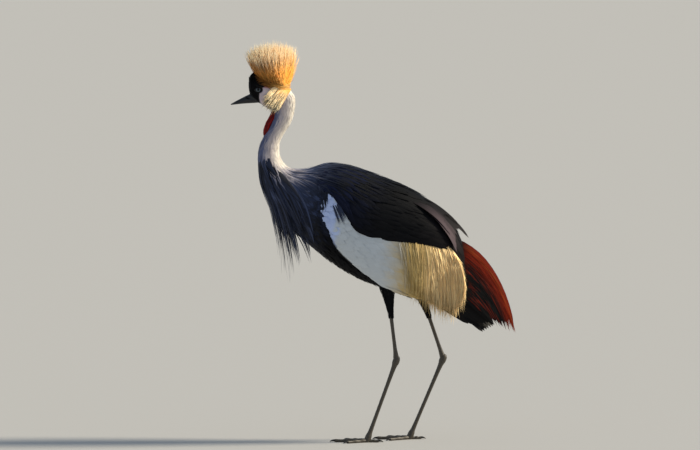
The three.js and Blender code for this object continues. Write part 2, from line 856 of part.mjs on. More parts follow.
function add(name, solid, material) {
  const mesh = largest(solid.simplify(FINE)).getMesh();
  const geometry = new THREE.BufferGeometry()
    .setAttribute("position", new THREE.BufferAttribute(mesh.vertProperties, 3))
    .setIndex(new THREE.BufferAttribute(mesh.triVerts, 1))
    .toNonIndexed();
  geometry.computeVertexNormals();
  const made = new THREE.Mesh(geometry, material);
  made.name = name;
  bird.add(made);
}

const torsoGrown = torso(GAP);
const headGrown = headCore(GAP);

const wings = [LEFT, RIGHT].map((side) => fitted(wing(side), torsoGrown));
const wingsGrown = [LEFT, RIGHT].map((side) => wing(side, GAP));
const tailSolid = fitted(tail(), torsoGrown, ...wingsGrown);
const mantleSolid = fitted(mantle(), torsoGrown, ...wingsGrown);
const mantleGrown = mantle(GAP);
const neckTop = fitted(neckUpper(), headGrown);
const neckTopGrown = solidFromRings(bodyLoft(0, NECK_SPLIT, 9, GAP));

add("head", head(), MATERIALS.white);
add("bill_upper", billPart(true), MATERIALS.horn);
add("bill_lower", billPart(false), MATERIALS.horn);
add("eye_left", eyeball(LEFT), MATERIALS.iris);
add("eye_right", eyeball(RIGHT), MATERIALS.iris);
add("crest", fitted(crest(), headGrown, neckTopGrown), MATERIALS.gold);
add("wattle", fitted(wattle(), headGrown, neckTopGrown), MATERIALS.red);
add("neck_upper", neckTop, MATERIALS.pearl);
add("neck_lower", fitted(neckLower(), torsoGrown, ...wingsGrown, mantleGrown), MATERIALS.slate);
add("torso", torso(), MATERIALS.black);
add("mantle", mantleSolid, MATERIALS.black);
add("wing_left", wings[0], MATERIALS.white);
add("wing_right", wings[1], MATERIALS.white);
add("tail", tailSolid, MATERIALS.black);

for (const [name, leg] of Object.entries(LEGS)) {
  const tarsusGrown = tarsus(leg, GAP);
  add(`thigh_${name}`, fitted(thigh(leg), torsoGrown, wing(leg.side, THIGH_GAP)), MATERIALS.black);
  add(`shank_${name}`, fitted(shank(leg), tarsusGrown), MATERIALS.leg);
  add(`tarsus_${name}`, tarsus(leg), MATERIALS.leg);
  const done = [tarsusGrown];
  for (const sizes of TOES) {
    add(`toe_${name}_${sizes.name}`, fitted(toe(leg, sizes), ...done), MATERIALS.leg);
    done.push(toe(leg, sizes, GAP));
    add(`claw_${name}_${sizes.name}`, fitted(claw(leg, sizes), toe(leg, sizes, GAP)), MATERIALS.horn);
  }
}

export default bird;
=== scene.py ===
import bpy
import numpy as np
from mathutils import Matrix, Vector


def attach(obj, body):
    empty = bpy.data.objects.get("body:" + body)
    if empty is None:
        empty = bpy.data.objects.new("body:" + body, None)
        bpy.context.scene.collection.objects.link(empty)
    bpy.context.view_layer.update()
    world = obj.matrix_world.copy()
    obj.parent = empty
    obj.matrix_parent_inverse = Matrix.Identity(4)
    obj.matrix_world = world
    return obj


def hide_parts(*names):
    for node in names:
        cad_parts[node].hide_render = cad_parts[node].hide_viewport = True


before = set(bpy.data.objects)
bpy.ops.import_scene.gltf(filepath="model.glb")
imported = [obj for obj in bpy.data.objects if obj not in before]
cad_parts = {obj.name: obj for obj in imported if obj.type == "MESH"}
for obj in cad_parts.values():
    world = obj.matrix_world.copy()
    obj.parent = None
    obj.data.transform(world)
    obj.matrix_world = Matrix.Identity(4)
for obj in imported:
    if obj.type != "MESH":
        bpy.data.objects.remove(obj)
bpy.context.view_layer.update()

# The room
# A pale floor out to the horizon and a pale sky. One broad soft light stands low behind the
# bird's tail, as the sun does in the picture. The camera is 20 m away, a little above the bird.

FLOOR_REACH = 90000
FLOOR_PAINT, FLOOR_ROUGH = (0.52, 0.51, 0.49), 0.9
SKY, SKY_STRENGTH = (0.70, 0.83, 1.0), 0.42
SUN, SUN_STRENGTH = (1.0, 0.90, 0.72), 4.2
# Where the sun stands, and how wide it looks, in degrees
SUN_FROM, SUN_WIDTH = (0.80, 0.06, 0.52), 12
CAMERA_AIM = (-56, 0, 542)
# How far off the camera is, and how many degrees above the level
CAMERA_FAR, CAMERA_RISE = 20000, 3.8
# Focal length and film width in millimetres, and the farthest thing seen, in metres
FOCAL_LENGTH, FILM_WIDTH, FARTHEST = 411, 36, 400
MM = 0.001


def paint(name, colour, rough):
    """A new material with a plain first colour, and its shader node."""
    made = bpy.data.materials.new(name)
    made.use_nodes = True
    shader = made.node_tree.nodes["Principled BSDF"]
    shader.inputs["Base Color"].default_value = (*colour, 1)
    shader.inputs["Roughness"].default_value = rough
    return made, shader


def node(material, kind, operation=None, **inputs):
    """A new shader node. An input is a number, a colour or another node's output."""
    made = material.node_tree.nodes.new(kind)
    if operation:
        made.operation = operation
    for key, value in inputs.items():
        socket = made.inputs[int(key[1:]) if key[1:].isdigit() else key.replace("_", " ")]
        if isinstance(value, bpy.types.NodeSocket):
            material.node_tree.links.new(value, socket)
        else:
            socket.default_value = value
    return made


def bump(material, shader, height, strength, reach):
    """Roughens a shader's surface by a height in 0 to 1, reach millimetres deep."""
    made = node(material, "ShaderNodeBump", Strength=strength, Distance=reach * MM, Height=height)
    material.node_tree.links.new(made.outputs[0], shader.inputs["Normal"])


floor_mesh = bpy.data.meshes.new("floor")
corner = FLOOR_REACH * MM
floor_mesh.from_pydata(
    [(-corner, -corner, 0), (corner, -corner, 0), (corner, corner, 0), (-corner, corner, 0)],
    [],
    [(0, 1, 2, 3)],
)
floor = bpy.data.objects.new("floor", floor_mesh)
bpy.context.collection.objects.link(floor)
floor_mesh.materials.append(paint("floor_paint", FLOOR_PAINT, FLOOR_ROUGH)[0])

world = bpy.data.worlds.new("sky")
bpy.context.scene.world = world
world.use_nodes = True
sky = world.node_tree.nodes["Background"]
sky.inputs["Color"].default_value = (*SKY, 1)
sky.inputs["Strength"].default_value = SKY_STRENGTH
bpy.context.scene.view_settings.view_transform = "Standard"

sun_light = bpy.data.lights.new("sun", "SUN")
sun_light.energy = SUN_STRENGTH
sun_light.angle = np.radians(SUN_WIDTH)
sun_light.color = SUN
sun = bpy.data.objects.new("sun", sun_light)
sun.rotation_euler = Vector(SUN_FROM).to_track_quat("Z", "Y").to_euler()
bpy.context.collection.objects.link(sun)

lens = bpy.data.cameras.new("camera")
lens.lens = FOCAL_LENGTH
lens.sensor_width = FILM_WIDTH
lens.clip_end = FARTHEST
camera = bpy.data.objects.new("camera", lens)
rise = np.radians(CAMERA_RISE)
away = Vector((0, -np.cos(rise), np.sin(rise)))
camera.location = (Vector(CAMERA_AIM) + away * CAMERA_FAR) * MM
camera.rotation_euler = away.to_track_quat("Z", "Y").to_euler()
bpy.context.collection.objects.link(camera)
bpy.context.scene.camera = camera

# Skin
# One soft hide over head, neck, body, folded wings and thighs, with no seam. It is bare only on
# the cheek, and elsewhere takes the colour of the feathers that grow from it.

# One row a station from inside the head to the rump: centre x, centre z, reach to the back,
# reach to the breast, half width
BODY = [
    [-228, 884, 18, 18, 15],
    [-220, 858, 26, 27, 22],
    [-220.5, 830, 25, 24.5, 21],
    [-225, 807, 22.5, 22, 19.5],
    [-236, 784, 19.5, 19.5, 18],
    [-249, 761, 20, 21, 19],
    [-257, 737, 24, 25, 22.5],
    [-259, 712, 28, 27, 27],
    [-254, 685, 35, 30, 33],
    [-241, 655, 52, 37, 44],
    [-216, 622, 90, 46, 58],
    [-179, 592, 120, 60, 70],
    [-126, 562, 137, 72, 79],
    [-61, 527, 145, 86, 83],
    [6, 490, 142, 90, 79],
    [74, 450, 118, 78, 68],
    [139, 410, 80, 60, 50],
    [194, 375, 42, 38, 30],
    [239, 347, 10, 10, 8],
]
# One row a station from the wrist back: wing depth on the back, on the flank, and the turn of
# the wing's lower edge in degrees
WRIST_STATION = 11
WING = [
    [2, 5, 88],
    [5, 11, 104],
    [9, 14, 129],
    [22, 15, 142],
    [40, 17, 155],
    [52, 17, 148],
    [34, 8, 132],
]
# The turn of the mantle's edge, one row each half station
MANTLE_START = 10
MANTLE_EDGE = [[70], [74], [72], [64], [68], [76], [85], [87], [82], [75], [66], [52], [42], [35], [30]]
LAST = len(BODY) - 1


def ink(text):
    """A colour as light, from the six digits that a paint chart gives."""
    shown = np.array([int(text[i : i + 2], 16) for i in (0, 2, 4)]) / 255
    return np.where(shown > 0.04045, ((shown + 0.055) / 1.055) ** 2.4, shown / 12.92)


# Pearl, mauve and slate are the neck's grey, with painted sunlight behind and painted shade in front
PEARL = ink("FAF1E2")
MAUVE = ink("CFC2C0")
SLATE = ink("646C8E")
HACKLE = ink("434E6E")
BLACK = ink("07080C")
WHITE = ink("C5CDD4")
# The wrist's blue is painted shade on white feathers
SHADED_WRIST_BLUE = ink("BCCDF6")
CREAM = ink("C6AE76")
STRAW = ink("B8954F")
# The bright gold is partly the plumes' own gold and partly painted sunlight from behind
SUNLIT_GOLD = ink("FFDDA0")


def wash(low, high, x):
    """0 below low, 1 above high, and a soft step between."""
    share = np.clip((np.asarray(x, float) - low) / (high - low), 0, 1)
    return share * share * (3 - 2 * share)


def blend(first, second, share):
    return first + (second - first) * np.asarray(share)[..., None]


def unit(v):
    return v / np.maximum(np.linalg.norm(v, axis=-1, keepdims=True), 1e-9)


def rows_at(rows, t):
    """The row of numbers at station t, on a smooth curve through the rows."""
    rows, t = np.asarray(rows, float), np.asarray(t, float)
    last = len(rows) - 1
    i = np.clip(np.floor(t).astype(int), 0, last - 1)
    f = (t - i)[..., None]
    a, b, c, d = (rows[np.clip(i + k, 0, last)] for k in (-1, 0, 1, 2))
    return b + 0.5 * f * (c - a + f * (2 * a - 5 * b + 4 * c - d + f * (3 * (b - c) + d - a)))


def body_ring(t):
    """Centre, direction along the body in x and z, reach to back and breast, and half width."""
    inside = np.clip(t, 0, LAST)
    x, z, up, down, half = np.moveaxis(rows_at(BODY, inside), -1, 0)
    ahead, behind = rows_at(BODY, inside + 0.02), rows_at(BODY, inside - 0.02)
    ax, az = np.moveaxis(unit((ahead - behind)[..., :2]), -1, 0)
    past = (t - inside) * 50
    return x + past * ax, z + past * az, ax, az, up, down, half


def body_at(t, turn, lift=0):
    """A point on the body. Turn 0 is the back, 90 the right side, -90 the left, 180 the breast."""
    x, z, ax, az, up, down, half = body_ring(t)
    c, s = np.cos(np.radians(turn)), np.sin(np.radians(turn))
    reach = np.where(c > 0, up, down)
    steep = np.hypot(c / reach, s / half)
    out = reach * c + lift * c / reach / steep
    return np.stack([x - az * out, half * s + lift * s / half / steep, z + ax * out], -1)


def wing_front(turn):
    """The station where the folded wing begins."""
    return 11.5 + 0.8 * np.clip((turn - 70) / 38, 0, 1)


def wing_at(t):
    """The wing's depth on the back and on the flank, and the turn of its lower edge."""
    return np.moveaxis(rows_at(WING, np.clip(np.asarray(t) - WRIST_STATION, 0, len(WING) - 1)), -1, 0)


def wing_depth(t, turn):
    """How far the folded wing stands off the body."""
    turn = np.abs(turn)
    back, flank, low = wing_at(t)
    full = flank + (back - flank) * np.cos(np.radians(np.minimum(turn, 90))) ** 2
    wrist = wash(0, 0.6, t - wing_front(turn))
    edge = np.clip((low - turn) / 14, 0, 1)
    return full * np.sqrt(edge * wrist)


def mantle_edge(t):
    return rows_at(MANTLE_EDGE, np.clip(2 * (t - MANTLE_START), 0, len(MANTLE_EDGE) - 1))[..., 0]


def flank(t, turn):
    """The surface that the wing's feathers lie on."""
    return body_at(t, turn, wing_depth(t, turn))


def saddle(t, turn):
    """The surface that the mantle's feathers lie on."""
    thin = np.sqrt(np.clip((mantle_edge(t) - np.abs(turn)) / 24, 0, 1))
    return body_at(t, turn, wing_depth(t, turn) + 4 * wash(9.6, 11, t) * thin)


def outward(place, t, turn):
    """The direction that a surface faces."""
    ahead = place(t + 0.03, turn) - place(t - 0.03, turn)
    over = place(t, turn + 1) - place(t, turn - 1)
    return unit(np.cross(ahead, over))


def plumage(t, turn, stray=0):
    """The colour of neck and body feathers, pale behind and slate in front, then black. The pale behind is
    partly painted sunlight, and the slate in front partly painted shade, over the neck's own grey.
    """
    turn = np.abs(turn)
    side = blend(PEARL, MAUVE, np.maximum(wash(26, 92, turn + 12 * stray), 0.85 * wash(6.6, 8.6, t)))
    side = blend(side, SLATE, 0.45 * wash(6.9, 8.4, t + 0.5 * stray))
    neck = blend(side, SLATE, wash(84, 138, turn + 20 * stray))
    start = 8.9 - 2.9 * wash(66, 140, turn) + stray
    body = blend(HACKLE, BLACK, wash(9.5, 12.5, t))
    return blend(neck, body, wash(0, 1.5, t - start))


def straw(x, stray=0):
    """The colour of the wing's hind plumes: white in front with painted blue shade at the wrist, then cream,
    then a dull straw and a bright gold. The dull middle is partly painted shade, and the bright gold behind
    partly painted sunlight.
    """
    x = x + 22 * stray
    pale = blend(blend(SHADED_WRIST_BLUE, WHITE, wash(-96, -84, x)), CREAM, wash(16, 104, x))
    dull_and_shaded = blend(pale, STRAW, 0.75 * wash(70, 130, x))
    return blend(dull_and_shaded, SUNLIT_GOLD, wash(108, 158, x))


def nearest_station(points):
    """The station and turn that each point lies at."""
    stations = np.linspace(0, LAST, 20 * LAST + 1)
    x, z, ax, az = body_ring(stations)[:4]
    best = np.zeros(len(points))
    least = np.full(len(points), 1e9)
    for k, t in enumerate(stations):
        dx, dz = points[:, 0] - x[k], points[:, 2] - z[k]
        miss = np.abs(dx * ax[k] + dz * az[k]) + 0.02 * np.hypot(dx, dz)
        closer = miss < least
        best[closer], least[closer] = t, miss[closer]
    x, z, ax, az, up, down, half = body_ring(best)
    back = -(points[:, 0] - x) * az + (points[:, 2] - z) * ax
    reach = np.where(back > 0, up, down)
    return best, np.degrees(np.arctan2(points[:, 1] / half, back / reach))


# Along the head from the brow to the nape: x, top z, bottom z, half width
HEAD = [
    [-309, 896, 884, 4],
    [-305, 909, 869, 12],
    [-297, 920, 858, 17.5],
    [-284, 928, 849, 22],
    [-268, 931, 839, 25.5],
    [-250, 930, 830, 26.5],
    [-234, 921, 840, 24],
    [-221, 905, 852, 19],
    [-212, 890, 862, 11],
    [-208, 880, 870, 4],
]
HEAD_LAST = len(HEAD) - 1
EYE_X, EYE_Y, EYE_Z, EYE_BALL = -285, 16.4, 882, 8
CHEEK_X, CHEEK_Z = -266, 864
CHEEK_BARE = ink("C9B9C0")
CHEEK_RED = ink("B4666C")
VELVET = ink("0A090B")
CROWN = ink("7A4A1E")


def head_at(u, turn):
    """A point on the head, with the hollow round each eye and the full cheek."""
    x, top, bottom, half = np.moveaxis(rows_at(HEAD, np.clip(u, 0, HEAD_LAST)), -1, 0)
    c, s = np.cos(np.radians(turn)), np.sin(np.radians(turn))
    z = (top + bottom) / 2 + (top - bottom) / 2 * c
    y = half * np.sign(s) * np.abs(s) ** 0.92
    from_eye = np.hypot((x - EYE_X) / 1.15, z - EYE_Z)
    from_cheek = np.hypot((x - CHEEK_X) / 17, (z - CHEEK_Z - 2) / 23)
    side = np.clip(np.abs(s) * 1.6 - 0.4, 0, 1)
    rise = 1.3 * (1 - wash(0.85, 1.05, from_cheek)) - 2.6 * np.exp(-((from_eye / 8.5) ** 2))
    rise = rise + 1.2 * np.exp(-(((from_eye - 11) / 3) ** 2)) * wash(880, 888, z)
    return np.stack([x, y + np.sign(y) * side * rise, z], -1)


def bare_cheek(x, z):
    """1 on the bare cheek and 0 off it."""
    cheek = 1 - wash(0.9, 1.02, np.hypot((x - CHEEK_X) / 17.5, (z - CHEEK_Z) / 27))
    return cheek * wash(1.0, 1.12, np.hypot((x - EYE_X) / 11, (z - EYE_Z) / 9))


def face(point):
    """The colour of the head's skin: velvet black in front, a bare cheek with a red top."""
    x, z = point[..., 0], point[..., 2]
    colour = blend(VELVET, CROWN, wash(-272, -258, x) * wash(884, 896, z))
    nape = wash(-258, -250, x + 0.25 * (860 - z)) * (1 - wash(884, 896, z))
    station, turn = nearest_station(point.reshape(-1, 3))
    pale = plumage(station, turn).reshape(point.shape)
    colour = colour + (pale - colour) * nape[..., None]
    cheek = blend(CHEEK_BARE, CHEEK_RED, wash(884, 890, z + 0.12 * (x - CHEEK_X)))
    return blend(colour, cheek, bare_cheek(x, z))


# Each row of a thigh: share of the way from knee to hock, reach fore and aft, half width
THIGH = [
    [-0.06, 30, 20],
    [0.06, 36, 26],
    [0.22, 30, 23],
    [0.36, 19, 16],
    [0.5, 10, 9.5],
    [0.62, 5.8, 5.6],
]
# Knee, hock and ball of each foot
LEGS = {
    "left": ((26, -34, 484), (60, -40, 206), (-12, -42, 8)),
    "right": ((86, 34, 474), (178, 40, 204), (95, 42, 8)),
}
# How far the skin lies below the coat
COAT_ON_NECK, COAT_ON_BODY, COAT_ON_THIGH = 1.4, 4.0, 2


def limb_rows(start, end, shares):
    start, end = np.array(start, float), np.array(end, float)
    return [[*(start + (end - start) * row[0]), *row[1:]] for row in shares]


def limb_at(rows, s, turn):
    """A point on a round limb. Rows hold x, y, z, reach fore and aft, and half width."""
    row = rows_at(rows, s)
    along = unit((rows_at(rows, s + 0.02) - rows_at(rows, s - 0.02))[..., :3])
    side = unit(np.array([0, 1, 0]) - along * along[..., 1:2])
    fore = np.cross(side, along)
    c, si = np.cos(np.radians(turn))[..., None], np.sin(np.radians(turn))[..., None]
    return row[..., :3] + fore * row[..., 3:4] * c + side * row[..., 4:5] * si


def grid(last, steps, around):
    """Stations from 0 to last and the turns of a full circle, over a grid."""
    turns = np.linspace(0, 360, around, endpoint=False)
    return np.meshgrid(np.linspace(0, last, steps), turns, indexing="ij")


def tube(name, rings):
    """A closed object from rings of points, with a fan over each end."""
    count, around = rings.shape[:2]
    points = np.concatenate([rings.reshape(-1, 3), rings[0].mean(0)[None], rings[-1].mean(0)[None]])
    i = np.arange(around)
    j = (i + 1) % around
    faces = []
    for r in range(count - 1):
        near, far = r * around, (r + 1) * around
        faces += np.stack([near + i, near + j, far + j, far + i], 1).tolist()
    first, last = count * around, count * around + 1
    faces += [(first, int(b), int(a)) for a, b in zip(i, j)]
    end = (count - 1) * around
    faces += [(last, int(end + a), int(end + b)) for a, b in zip(i, j)]
    # The faces turn the other way where the rings run round the other way
    corners = [(points - points.mean(0))[[face[k] for face in faces]] for k in range(3)]
    if np.einsum("ij,ij->", corners[0], np.cross(corners[1], corners[2])) < 0:
        faces = [face[::-1] for face in faces]
    mesh = bpy.data.meshes.new(name)
    mesh.from_pydata((points * MM).tolist(), [], faces)
    mesh.shade_smooth()
    made = bpy.data.objects.new(name, mesh)
    bpy.context.collection.objects.link(made)
    return made


def union(base, others):
    """Joins other closed objects to the base, as one closed skin."""
    for other in others:
        made = base.modifiers.new("join", "BOOLEAN")
        made.object = other
        made.operation = "UNION"
        made.solver = "EXACT"
    mesh = bpy.data.meshes.new_from_object(base.evaluated_get(bpy.context.evaluated_depsgraph_get()))
    base.modifiers.clear()
    base.data = mesh
    for other in others:
        bpy.data.objects.remove(other)
    mesh.shade_smooth()


def corners_of(mesh):
    flat = np.empty(len(mesh.vertices) * 3, np.float32)
    mesh.vertices.foreach_get("co", flat)
    return flat.reshape(-1, 3).astype(float) / MM


def tint_points(mesh, colours):
    """Keeps a colour at each point of a mesh, for its material to read."""
    layer = mesh.color_attributes.new("tint", "FLOAT_COLOR", "POINT")
    layer.data.foreach_set("color", np.column_stack([colours, np.ones(len(colours))]).ravel())


def mottle(material, shader, pattern, low, high, **pattern_range):
    """Colours a material by the tint at its points, lighter and darker by a pattern."""
    colour = node(material, "ShaderNodeVertexColor")
    colour.layer_name = "tint"
    change = node(material, "ShaderNodeMapRange", Value=pattern, To_Min=low, To_Max=high, **pattern_range)
    mixed = node(material, "ShaderNodeVectorMath", "MULTIPLY", _0=colour.outputs[0], _1=change.outputs[0])
    material.node_tree.links.new(mixed.outputs[0], shader.inputs["Base Color"])


along_body, round_body = grid(LAST, 190, 96)
signed = np.where(round_body > 180, round_body - 360, round_body)
coat = COAT_ON_NECK + (COAT_ON_BODY - COAT_ON_NECK) * wash(7, 10, along_body)
under_wing = wing_depth(along_body, signed) * (1 - wash(16.1, 16.9, along_body))
skin = tube("skin", body_at(along_body, signed, 0.9 * under_wing - coat))
forms = [tube("head_form", head_at(*grid(HEAD_LAST, 150, 128)))]
for side, (knee, hock, ball) in LEGS.items():
    shares = [(share, fore - COAT_ON_THIGH, half - COAT_ON_THIGH) for share, fore, half in THIGH]
    form = limb_at(limb_rows(knee, hock, shares), *grid(len(THIGH) - 1, 26, 32))
    forms.append(tube("thigh_" + side + "_form", form))
union(skin, forms)

points = corners_of(skin.data)
station, turn = nearest_station(points)
on_head = (points[:, 2] > 826) & (points[:, 0] < -206) & (station < 2.2)
hide = plumage(station, turn)
panel = wash(12, 12.3, station) * wash(0, 4, np.abs(turn) - mantle_edge(station))
panel = panel * (1 - wash(-10, -4, np.abs(turn) - wing_at(station)[2])) * (1 - wash(16.6, 16.9, station))
hide = blend(hide, straw(points[:, 0]), panel)
on_thigh = (np.abs(points[:, 1]) < 60) & (points[:, 2] < 445) & (points[:, 0] < 150)
hide = np.where(on_thigh[:, None], BLACK, hide)
hide = np.where(on_head[:, None], face(points), hide)
tint_points(skin.data, hide)

skin_look, skin_shader = paint("hide", (0.5, 0.5, 0.5), 0.55)
skin_shader.inputs["Specular IOR Level"].default_value = 0.2
skin_shader.inputs["Subsurface Weight"].default_value = 0.08
skin_shader.inputs["Subsurface Radius"].default_value = (0.004, 0.002, 0.001)
skin_place = node(skin_look, "ShaderNodeTexCoord")
pores = node(skin_look, "ShaderNodeTexNoise", Vector=skin_place.outputs["Object"], Scale=900, Detail=3)
blotch = node(skin_look, "ShaderNodeTexNoise", Vector=skin_place.outputs["Object"], Scale=140, Detail=4)
mottle(skin_look, skin_shader, blotch.outputs[0], 0.72, 1.22)
bump(skin_look, skin_shader, pores.outputs[0], 0.5, 0.4)
skin.data.materials.clear()
skin.data.materials.append(skin_look)
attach(skin, "root")
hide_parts("head", "neck_upper", "neck_lower", "torso", "thigh_left", "thigh_right")

# Eyes
# Each eye is a wet ball with a grey-blue iris and a black pupil, set in the hollow of the
# face. A bare dark lid runs round it as a ring, a little pointed at its corners.

PUPIL, IRIS, BALL_DARK = 3.4, 5.3, ink("0A0A0C")
IRIS_PALE, IRIS_DEEP = ink("6C767D"), ink("363E45")
LID = ink("17161A")
# From the rim on the ball out to the face: distance from the eye's middle, rise off the ball
LID_RINGS = [(5.2, -1.0), (5.3, 0.4), (5.8, 0.8), (6.5, 0.7), (7.3, 0.1), (8.4, -1.4), (9.2, -3.2)]


def lit(name, rough, coat_weight=0.0, strength=0.3, scale=600, reach=0.3, gloss=0.4):
    """A finish that takes its colour from the points, with a fine uneven grain."""
    made, shader = paint(name, (0.5, 0.5, 0.5), rough)
    shader.inputs["Specular IOR Level"].default_value = gloss
    shader.inputs["Coat Weight"].default_value = coat_weight
    place = node(made, "ShaderNodeTexCoord")
    grain = node(made, "ShaderNodeTexNoise", Vector=place.outputs["Object"], Scale=scale, Detail=3)
    mottle(made, shader, grain.outputs[0], 0.8, 1.2)
    bump(made, shader, grain.outputs[0], strength, reach)
    return made


def tint_all(made, colour):
    """Gives a piece one colour all over."""
    tint_points(made.data, np.tile(colour, (len(made.data.vertices), 1)))


eye_look = lit("wet_eye", 0.1, coat_weight=0.08, strength=0.02, gloss=0.1)
lid_look = lit("lid", 0.5, strength=0.5, scale=1800)
for side, sign in (("left", -1), ("right", 1)):
    steps, turns = grid(179, 90, 48)
    tilt, round_eye = np.radians(steps + 0.5), np.radians(turns)
    off = EYE_BALL * np.sin(tilt)
    ball = np.stack(
        [
            EYE_X + off * np.cos(round_eye),
            sign * (EYE_Y + EYE_BALL * np.cos(tilt) * (1 + 0.04 * (off < IRIS))),
            EYE_Z + off * np.sin(round_eye) * -sign,
        ],
        -1,
    )
    eye = tube("eye_ball_" + side, ball)
    place = corners_of(eye.data)
    from_axis = np.hypot(place[:, 0] - EYE_X, place[:, 2] - EYE_Z)
    front = sign * place[:, 1] > EYE_Y
    spokes = 0.5 + 0.5 * np.sin(17 * np.arctan2(place[:, 2] - EYE_Z, place[:, 0] - EYE_X))
    colour = blend(IRIS_PALE, IRIS_DEEP, 0.25 * spokes + 0.5 * wash(3.6, 5.7, from_axis))
    colour = blend(BALL_DARK, colour, wash(PUPIL - 0.2, PUPIL + 0.2, from_axis))
    colour = blend(colour, BALL_DARK, wash(IRIS - 0.2, IRIS + 0.3, from_axis))
    tint_points(eye.data, np.where(front[:, None], colour, BALL_DARK))
    eye.data.materials.append(eye_look)
    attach(eye, "root")
    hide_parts("eye_" + side)

    ring = np.radians(np.linspace(0, 360, 64, endpoint=False))
    rings = []
    for far, high in LID_RINGS:
        # The upper lid comes down over the top of the iris
        above = np.maximum(-sign * np.sin(ring), 0) * (1 - wash(5.5, 8.6, far))
        wide = far * (1 + 0.16 * np.cos(ring) ** 2)
        tall = far * (1 - 0.08 * np.sin(ring) ** 2 - 0.36 * above)
        near = np.hypot(wide * np.cos(ring), tall * np.sin(ring))
        down = np.sqrt(np.maximum(EYE_BALL**2 - np.minimum(near, 7.6) ** 2, 0))
        y = sign * (EYE_Y + down + high)
        rings.append(np.stack([EYE_X + wide * np.cos(ring), y, EYE_Z + tall * np.sin(ring) * -sign], -1))
    lid = tube("lid_" + side, np.array(rings))
    tint_all(lid, LID)
    lid.data.materials.append(lid_look)
    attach(lid, "root")

# Bill
# Two halves of black horn that meet along the mouth line. A long slit in each side of the upper
# half is the nostril, painted black as its shade, and a painted highlight runs along the ridge.
# The horn is smooth at the tip and ends under the skin of the face.

# x, ridge z, lower edge z, half width
BILL = [
    [-284, 878, 848.5, 10.5],
    [-298, 874, 847.5, 9.5],
    [-312, 867.5, 846.8, 7.6],
    [-328, 859.5, 845.6, 5.4],
    [-343, 851.5, 844, 3.3],
    [-351, 847, 843, 1.8],
    [-354.2, 844.9, 843.2, 0.6],
]
# The mouth line: x and height at its tip, and its slope
MOUTH_X, MOUTH_Z, MOUTH_SLOPE = -354, 844.4, 0.155
# The slit of the nostril and the groove round it: middle x and z, reach along and across
NOSTRIL, GROOVE = (-315, 861, 8, 1.5), (-311, 862, 17, 3.4)
HORN, HORN_RIDGE_HIGHLIGHT = ink("1B1C1F"), ink("3A3B3E")


def in_oval(x, z, oval):
    """How far places lie from the middle of an oval that slants with the bill, 1 at its edge."""
    middle_x, middle_z, long, tall = oval
    return np.hypot((x - middle_x) / long, (z - middle_z + 0.35 * (x - middle_x)) / tall)


def tint_rings(made, shade, ends):
    """Colours a tube's rings, and the two points that close its ends."""
    tint_points(made.data, np.concatenate([shade.reshape(-1, 3), np.tile(ends, (2, 1))]))


horn_look = lit("horn", 0.32, strength=0.12, scale=300, reach=0.2)
for name, above in (("upper", True), ("lower", False)):
    u, turn = grid(len(BILL) - 1, 150, 96)
    x, top, low, half = np.moveaxis(rows_at(BILL, u), -1, 0)
    mouth = MOUTH_Z + MOUTH_SLOPE * (x - MOUTH_X)
    middle = low + 0.42 * (top - low)
    c, s = np.cos(np.radians(turn)), np.sin(np.radians(turn))
    z = middle + np.where(c > 0, top - middle, middle - low) * c
    y = half * np.sign(s) * np.abs(s) ** 0.85
    slit = 1 - wash(0.75, 1.15, in_oval(x, z, NOSTRIL))
    groove = 1 - wash(0.6, 1.2, in_oval(x, z, GROOVE))
    y = y * (1 - 0.5 * slit * above) - np.sign(y) * 0.7 * groove * above
    y = y + np.sign(y) * 0.35 * np.exp(-(((z - mouth) / 1.2) ** 2))
    z = np.maximum(z, mouth + 0.15) if above else np.minimum(z, mouth - 0.15)
    bill = tube("bill_half_" + name, np.stack([x, y, z], -1))
    # A painted highlight along the ridge of the upper half
    shade = blend(HORN, HORN_RIDGE_HIGHLIGHT, 0.6 * wash(0.2, 1, np.exp(-((z - top) ** 2) / 4)) * above)
    # The nostril slit is painted velvet black, as painted shade in its hollow
    tint_rings(bill, blend(shade, VELVET, slit * above), HORN)
    bill.data.materials.append(horn_look)
    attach(bill, "root")
    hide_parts("bill_" + name)

# Face feathers
# Short black velvet stands on the brow and the lores, and lies flat under the chin. It is thick
# enough to hide the skin, and stops at the bare cheek.

TUFT = [(-1, 0), (0, 1), (1, 0), (0, -0.6)]
VANE = [(-1, 0), (-0.5, 0.7), (0, 1.1), (0.5, 0.7), (1, 0), (0.5, -0.3), (0, -0.5), (-0.5, -0.3)]
STRAND = [(-1, -0.5), (0, 1), (1, -0.5)]
VELVET_TRIES, BROW_TUFTS = 12500, 420
# A feather's patch on the skin's unwrap, the unwrap's margin and its girth. The body's length
# takes the first part of its width, and the head's the last.
UV_PATCH, UV_EDGE, UV_GIRTH = 0.003, 0.02, 0.96


def petal(count, root=0.35, widest=0.45, blunt=0.5):
    """How wide a feather is from root to tip, as shares of its half width."""
    a = np.linspace(0, 1, count)
    grow = root + (1 - root) * wash(0, widest, a)
    shrink = np.clip((1 - a) / (1 - widest), 0, 1) ** blunt
    return np.where(a < widest, grow, np.minimum(grow, shrink))


